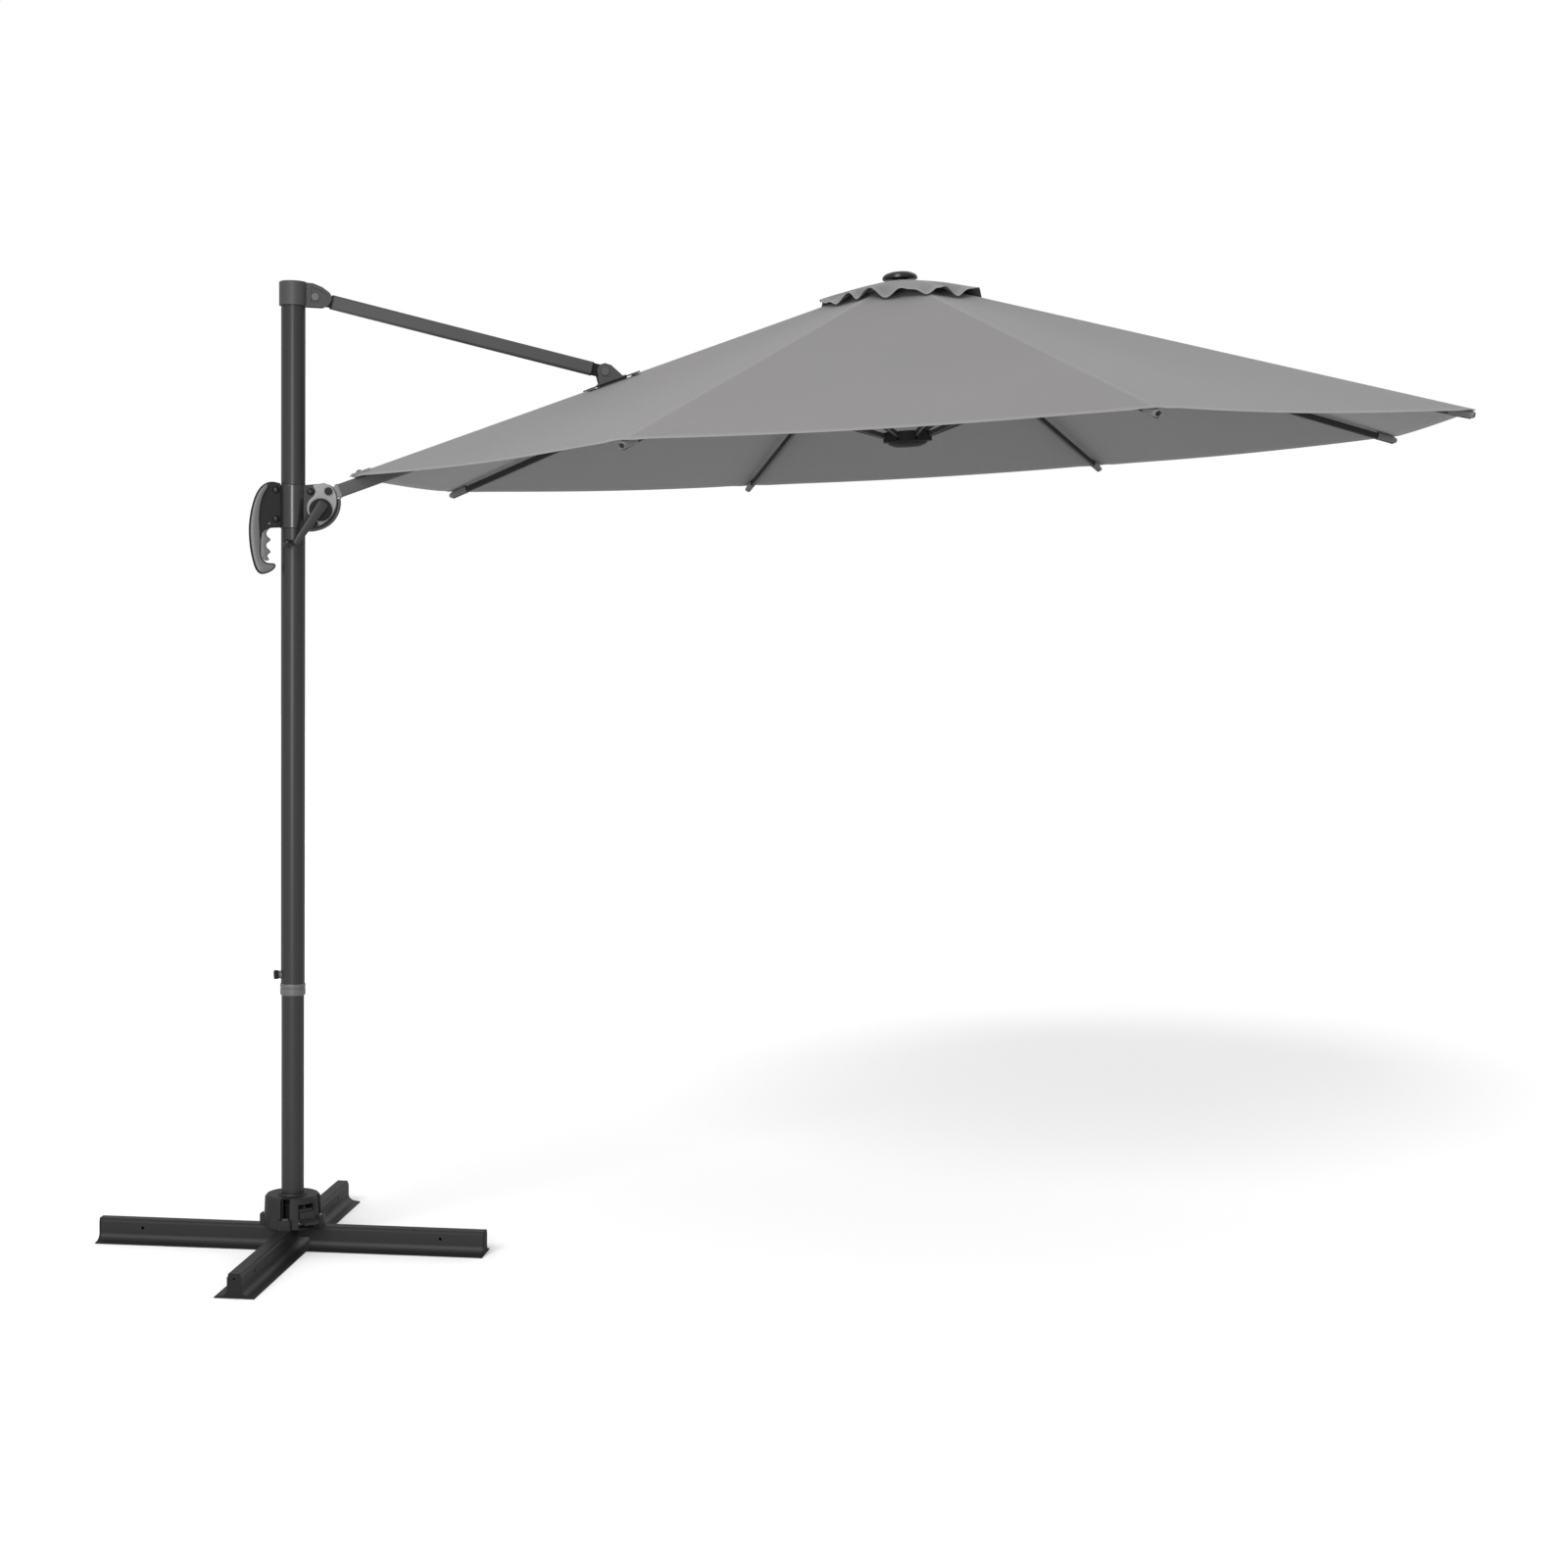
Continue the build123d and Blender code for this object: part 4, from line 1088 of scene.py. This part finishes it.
# ---------- slider
@dataclass
class Grip:
    """Moulded grip behind the mast: dark walls round a channel, a satin back and a finger lever.

    Attributes:
        half: half thickness of the satin back.
        side: half thickness of the dark walls.
        channel: half width of the lever's channel between the walls.
        lever_half: half thickness of the lever.
        outline: control points of the walls in X and Z.
        web: control points of the web between the walls.
        strip: control points of the satin back.
        lever: control points of the finger lever.
    """

    half: float = 0.015
    side: float = 0.0086
    channel: float = 0.0065
    lever_half: float = 0.0062
    outline: tuple[Point, ...] = (
        (-0.0322, 1.95), (-0.0325, 1.951), (-0.054, 1.9555), (-0.073, 1.949), (-0.089, 1.93),
        (-0.1005, 1.899), (-0.1075, 1.862), (-0.1095, 1.832), (-0.1073, 1.795), (-0.102, 1.766),
        (-0.0945, 1.738), (-0.084, 1.7245), (-0.072, 1.7235), (-0.056, 1.73), (-0.043, 1.742),
        (-0.0455, 1.7515), (-0.059, 1.7515), (-0.069, 1.753), (-0.0795, 1.766), (-0.0812, 1.795),
        (-0.0808, 1.82), (-0.073, 1.8335), (-0.056, 1.84), (-0.0325, 1.841), (-0.0322, 1.842))
    web: tuple[Point, ...] = (
        (-0.0322, 1.948), (-0.0325, 1.949), (-0.054, 1.953), (-0.071, 1.946), (-0.085, 1.928),
        (-0.094, 1.899), (-0.096, 1.862), (-0.075, 1.866), (-0.0325, 1.866), (-0.0322, 1.867))
    strip: tuple[Point, ...] = (
        (-0.0635, 1.949), (-0.0725, 1.9445), (-0.0865, 1.9285), (-0.098, 1.898), (-0.105, 1.8615),
        (-0.107, 1.832), (-0.1045, 1.7955), (-0.0993, 1.7665), (-0.092, 1.74), (-0.0825, 1.7275),
        (-0.072, 1.7265), (-0.057, 1.733), (-0.0465, 1.7425), (-0.048, 1.749), (-0.06, 1.7485),
        (-0.0705, 1.75), (-0.0825, 1.7635), (-0.084, 1.795), (-0.0835, 1.82), (-0.085, 1.845),
        (-0.0855, 1.87), (-0.083, 1.897), (-0.075, 1.924), (-0.064, 1.939))
    lever: tuple[Point, ...] = (
        (-0.0535, 1.857), (-0.0505, 1.845), (-0.059, 1.838), (-0.0665, 1.829), (-0.066, 1.819),
        (-0.053, 1.81), (-0.067, 1.80), (-0.0665, 1.79), (-0.053, 1.78), (-0.067, 1.77),
        (-0.057, 1.76), (-0.069, 1.756), (-0.0775, 1.766), (-0.08, 1.796), (-0.079, 1.826),
        (-0.0735, 1.848), (-0.0665, 1.858))

    def build(self, palette: Palette) -> None:
        """Builds the grip and its lever.

        Args:
            palette: the finishes.
        """
        for side in Side:
            wall = slab(rounded(self.outline), *side.span(self.channel, self.side), 0.0012, 2)
            piece = finish_piece(wall, f"grip_wall_{side.name.lower()}", "slider", palette.plastic)
            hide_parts("grip_handle")
        inset = self.side - 0.0005
        core = slab(rounded(self.web), -inset, inset, 0.001, 2)
        finish_piece(core, "grip_web", "slider", palette.plastic)
        back = slab(rounded(self.strip), -self.half, self.half, 0.0024, 3)
        finish_piece(back, "grip_back", "slider", palette.satin_plastic, ROLLED_SHARP)
        lever = slab(rounded(self.lever), -self.lever_half, self.lever_half, 0.0022, 3)
        piece = finish_piece(lever, "finger_lever", "trigger", palette.satin_plastic, ROLLED_SHARP)
        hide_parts("grip_trigger")


@dataclass
class CrankArm:
    """Tapered arm from the crank's hub to its knob, with rolled edges.

    Attributes:
        root: half width at the hub.
        tip: half width at the knob.
        roll: radius of its edges.
        offset: how far the arm's root lies from the hub's axis, in X and Z.
    """

    root: float = 0.0145
    tip: float = 0.0085
    roll: float = 0.0042
    offset: Point = (-0.003, 0.005)

    def build(self, palette: Palette) -> None:
        """Builds the arm.

        Args:
            palette: the finishes.
        """
        hub = Vector(JOINTS["crank_turn"]["pos_m"]).xz + Vector(self.offset)
        knob = Vector(JOINTS["knob_spin"]["pos_m"]).xz
        along = (knob - hub).normalized()
        across = Vector((-along.y, along.x))
        length = (knob - hub).length
        stations = ((-0.017, 0.6), (-0.01, 1.0), (length / 2, 0.85), (length, 1.0), (length + 0.009, 0.75))
        middles = [hub + along * at for at, _ in stations]
        aside = [across * share * self.half_width(at / length) for at, share in stations]
        rim = [middle + half for middle, half in zip(middles, aside)]
        rim += [middle - half for middle, half in zip(reversed(middles), reversed(aside))]
        low, high = (corner[1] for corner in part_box("crank_arm"))
        bm = slab(rounded([tuple(point) for point in rim], 6), low, high, self.roll, 4)
        piece = finish_piece(bm, "crank_arm_body", "crank", palette.mast_coat, ROLLED_SHARP)
        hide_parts("crank_arm")

    def half_width(self, share: float) -> float:
        """Finds the half width of the arm.

        Args:
            share: 0 at the hub and 1 at the knob.

        Returns:
            The half width.
        """
        return self.root + (self.tip - self.root) * max(0.0, min(1.0, share))


@dataclass
class CheekCovers:
    """Speckled crescent cover plates of the slider, with rolled rims.

    Attributes:
        gap: Y where the plates start.
        thick: thickness of a plate.
        outline: control points in X and Z.
    """

    gap: float = 0.025
    thick: float = 0.0027
    outline: tuple[Point, ...] = (
        (0.0445, 1.947), (0.056, 1.9505), (0.0745, 1.953), (0.0915, 1.9475), (0.101, 1.933),
        (0.105, 1.916), (0.103, 1.897), (0.0955, 1.877), (0.0815, 1.861), (0.07, 1.8525),
        (0.0595, 1.847), (0.058, 1.8565), (0.0485, 1.8635), (0.0375, 1.8705), (0.0315, 1.882),
        (0.0305, 1.897), (0.0375, 1.9125), (0.0495, 1.922), (0.053, 1.932), (0.0495, 1.9405))

    def build(self, palette: Palette) -> None:
        """Builds both plates.

        Args:
            palette: the finishes.
        """
        for side in Side:
            bm = slab(rounded(self.outline, 8), *side.span(self.gap, self.gap + self.thick), 0.0008, 2)
            piece = finish_piece(bm, f"cheek_cover_{side.name.lower()}", "slider", palette.plate)
            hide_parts("cheek_plates")


@dataclass
class RimWalls:
    """Dark walls that close the slider's housing below its cheeks, each with a lighter bead outside.

    Attributes:
        centre: X and Z of the rim band's centre.
        root: inner radius of a wall, behind the cheek.
        seam: radius where a wall meets its bead.
        rim: outer radius of the bead.
        inner: Y of their inner faces.
        wall_face: Y of a wall's outer face.
        bead_face: Y of a bead's outer face.
        top: angle where they start, over +X, in degrees.
        run: angle they cover, in degrees.
        facets: facets along them.
    """

    centre: Point = (0.043, 1.907)
    root: float = 0.058
    seam: float = 0.0665
    rim: float = 0.0728
    inner: float = 0.0198
    wall_face: float = 0.0240
    bead_face: float = 0.0254
    top: float = 9.0
    run: float = 100.0
    facets: int = 30

    def build(self, palette: Palette) -> None:
        """Builds the walls and beads.

        Args:
            palette: the finishes.
        """
        for side in Side:
            name = side.name.lower()
            wall = slab(self.sector(self.root, self.seam), *side.span(self.inner, self.wall_face), 0.0)
            finish_piece(wall, f"rim_wall_{name}", "slider", palette.plastic)
            bead = slab(self.sector(self.seam, self.rim), *side.span(self.inner, self.bead_face), 0.0012, 2)
            finish_piece(bead, f"rim_bead_{name}", "slider", palette.cast_coat, 40.0)

    def sector(self, inner: float, outer: float) -> list[Point]:
        """Draws a part of a ring about the rim band's centre.

        Args:
            inner: its inner radius.
            outer: its outer radius.

        Returns:
            The outline in X and Z.
        """
        x, z = self.centre
        turns = [math.radians(self.top - self.run * step / self.facets) for step in range(self.facets + 1)]
        rim = [(x + outer * math.cos(t), z + outer * math.sin(t)) for t in turns]
        return rim + [(x + inner * math.cos(t), z + inner * math.sin(t)) for t in reversed(turns)]


# ---------- studio
class LampKind(Enum):
    """Kind of a studio lamp."""

    SKY = "SUN"
    STRIP = "AREA"


@dataclass(frozen=True)
class Lamp:
    """Studio lamp: an even light from one direction, or a tall softbox.

    Attributes:
        name: the lamp's name.
        kind: its kind.
        power: watts per square metre for a sky, watts for a strip.
        at: its place.
        target: what it faces.
        spread: apparent size of a sky, in degrees.
        width: width of a strip.
        height: height of a strip.
    """

    name: str
    kind: LampKind
    power: float
    at: tuple[float, float, float]
    target: tuple[float, float, float]
    spread: float = 0.0
    width: float = 0.0
    height: float = 0.0

    def build(self) -> None:
        """Places the lamp."""
        data = bpy.data.lights.new(self.name, self.kind.value)
        data.energy = self.power
        if self.kind is LampKind.SKY:
            data.angle = math.radians(self.spread)
        else:
            data.shape = "RECTANGLE"
            data.size = self.width
            data.size_y = self.height
        lamp = bpy.data.objects.new(self.name, data)
        lamp.matrix_world = aimed(Vector(self.at), Vector(self.at) - Vector(self.target))
        bpy.context.scene.collection.objects.link(lamp)


@dataclass
class Studio:
    """Pale floor, soft lights and the camera.

    Attributes:
        eye: the camera's place.
        yaw: turn from +Y, degrees, positive to the left.
        pitch: tilt, degrees, positive up.
        roll: roll in radians.
        lens: focal length in millimetres on a 36 mm sensor.
        rise: vertical shift of the frame, in sensor widths.
        floor_half: half side of the floor.
        lamps: the lamps.
    """

    eye: tuple[float, float, float] = (-0.683, -6.227, 1.583)
    yaw: float = -17.77
    pitch: float = -5.08
    roll: float = 0.0188
    lens: float = 55.59
    rise: float = 0.0456
    floor_half: float = 40.0
    lamps: tuple[Lamp, ...] = (
        Lamp("key", LampKind.SKY, 1.9, (-3.5, -5.0, 6.5), (1.0, 0.0, 1.6), spread=24.0),
        Lamp("rim", LampKind.SKY, 0.4, (5.5, 4.5, 5.0), (1.0, 0.0, 1.8), spread=30.0),
        Lamp("edge", LampKind.STRIP, 110.0, (-1.3, -4.6, 1.9), (0.0, 0.0, 1.6), width=0.4, height=2.6))

    def camera(self) -> None:
        """Places the camera."""
        yaw, pitch = math.radians(self.yaw), math.radians(self.pitch)
        right = Vector((math.cos(yaw), math.sin(yaw), 0))
        level = Vector((-math.sin(yaw), math.cos(yaw), 0))
        ahead = level * math.cos(pitch) + Vector((0, 0, 1)) * math.sin(pitch)
        up = right.cross(ahead)
        c, s = math.cos(self.roll), math.sin(self.roll)
        side, top = right * c + up * s, up * c - right * s
        data = bpy.data.cameras.new("camera")
        data.lens = self.lens
        data.sensor_width = 36.0
        data.shift_y = self.rise
        data.clip_end = 200.0
        camera = bpy.data.objects.new("camera", data)
        turn = Matrix((side, top, -ahead)).transposed().to_4x4()
        camera.matrix_world = Matrix.Translation(self.eye) @ turn
        bpy.context.scene.collection.objects.link(camera)
        bpy.context.scene.camera = camera

    def floor(self) -> None:
        """Lays a wide pale floor."""
        bm = bmesh.new()
        bmesh.ops.create_grid(bm, x_segments=1, y_segments=1, size=self.floor_half)
        mesh = bpy.data.meshes.new("floor")
        bm.to_mesh(mesh)
        bm.free()
        mesh.materials.append(Backdrop("studio_paper", (0.78, 0.78, 0.78)).build())
        floor = bpy.data.objects.new("floor", mesh)
        bpy.context.scene.collection.objects.link(floor)

    def build(self) -> None:
        """Builds the studio."""
        self.floor()
        world = bpy.data.worlds.new("studio")
        world.use_nodes = True
        world.node_tree.nodes["Background"].inputs["Color"].default_value = (1.0, 1.0, 1.0, 1.0)
        world.node_tree.nodes["Background"].inputs["Strength"].default_value = 1.0
        bpy.context.scene.world = world
        bpy.context.scene.view_settings.view_transform = "Standard"
        for lamp in self.lamps:
            lamp.build()
        self.camera()


def main() -> None:
    """Builds the finishes, the cloth, the fittings and the studio."""
    palette = Palette()
    palette.dress()
    Canopy(CanopyFrame()).build(palette)
    Grip().build(palette)
    CrankArm().build(palette)
    CheekCovers().build(palette)
    RimWalls().build(palette)
    Studio().build()


if __name__ == "__main__":
    logging.basicConfig(level=logging.INFO, format="%(message)s")
    main()
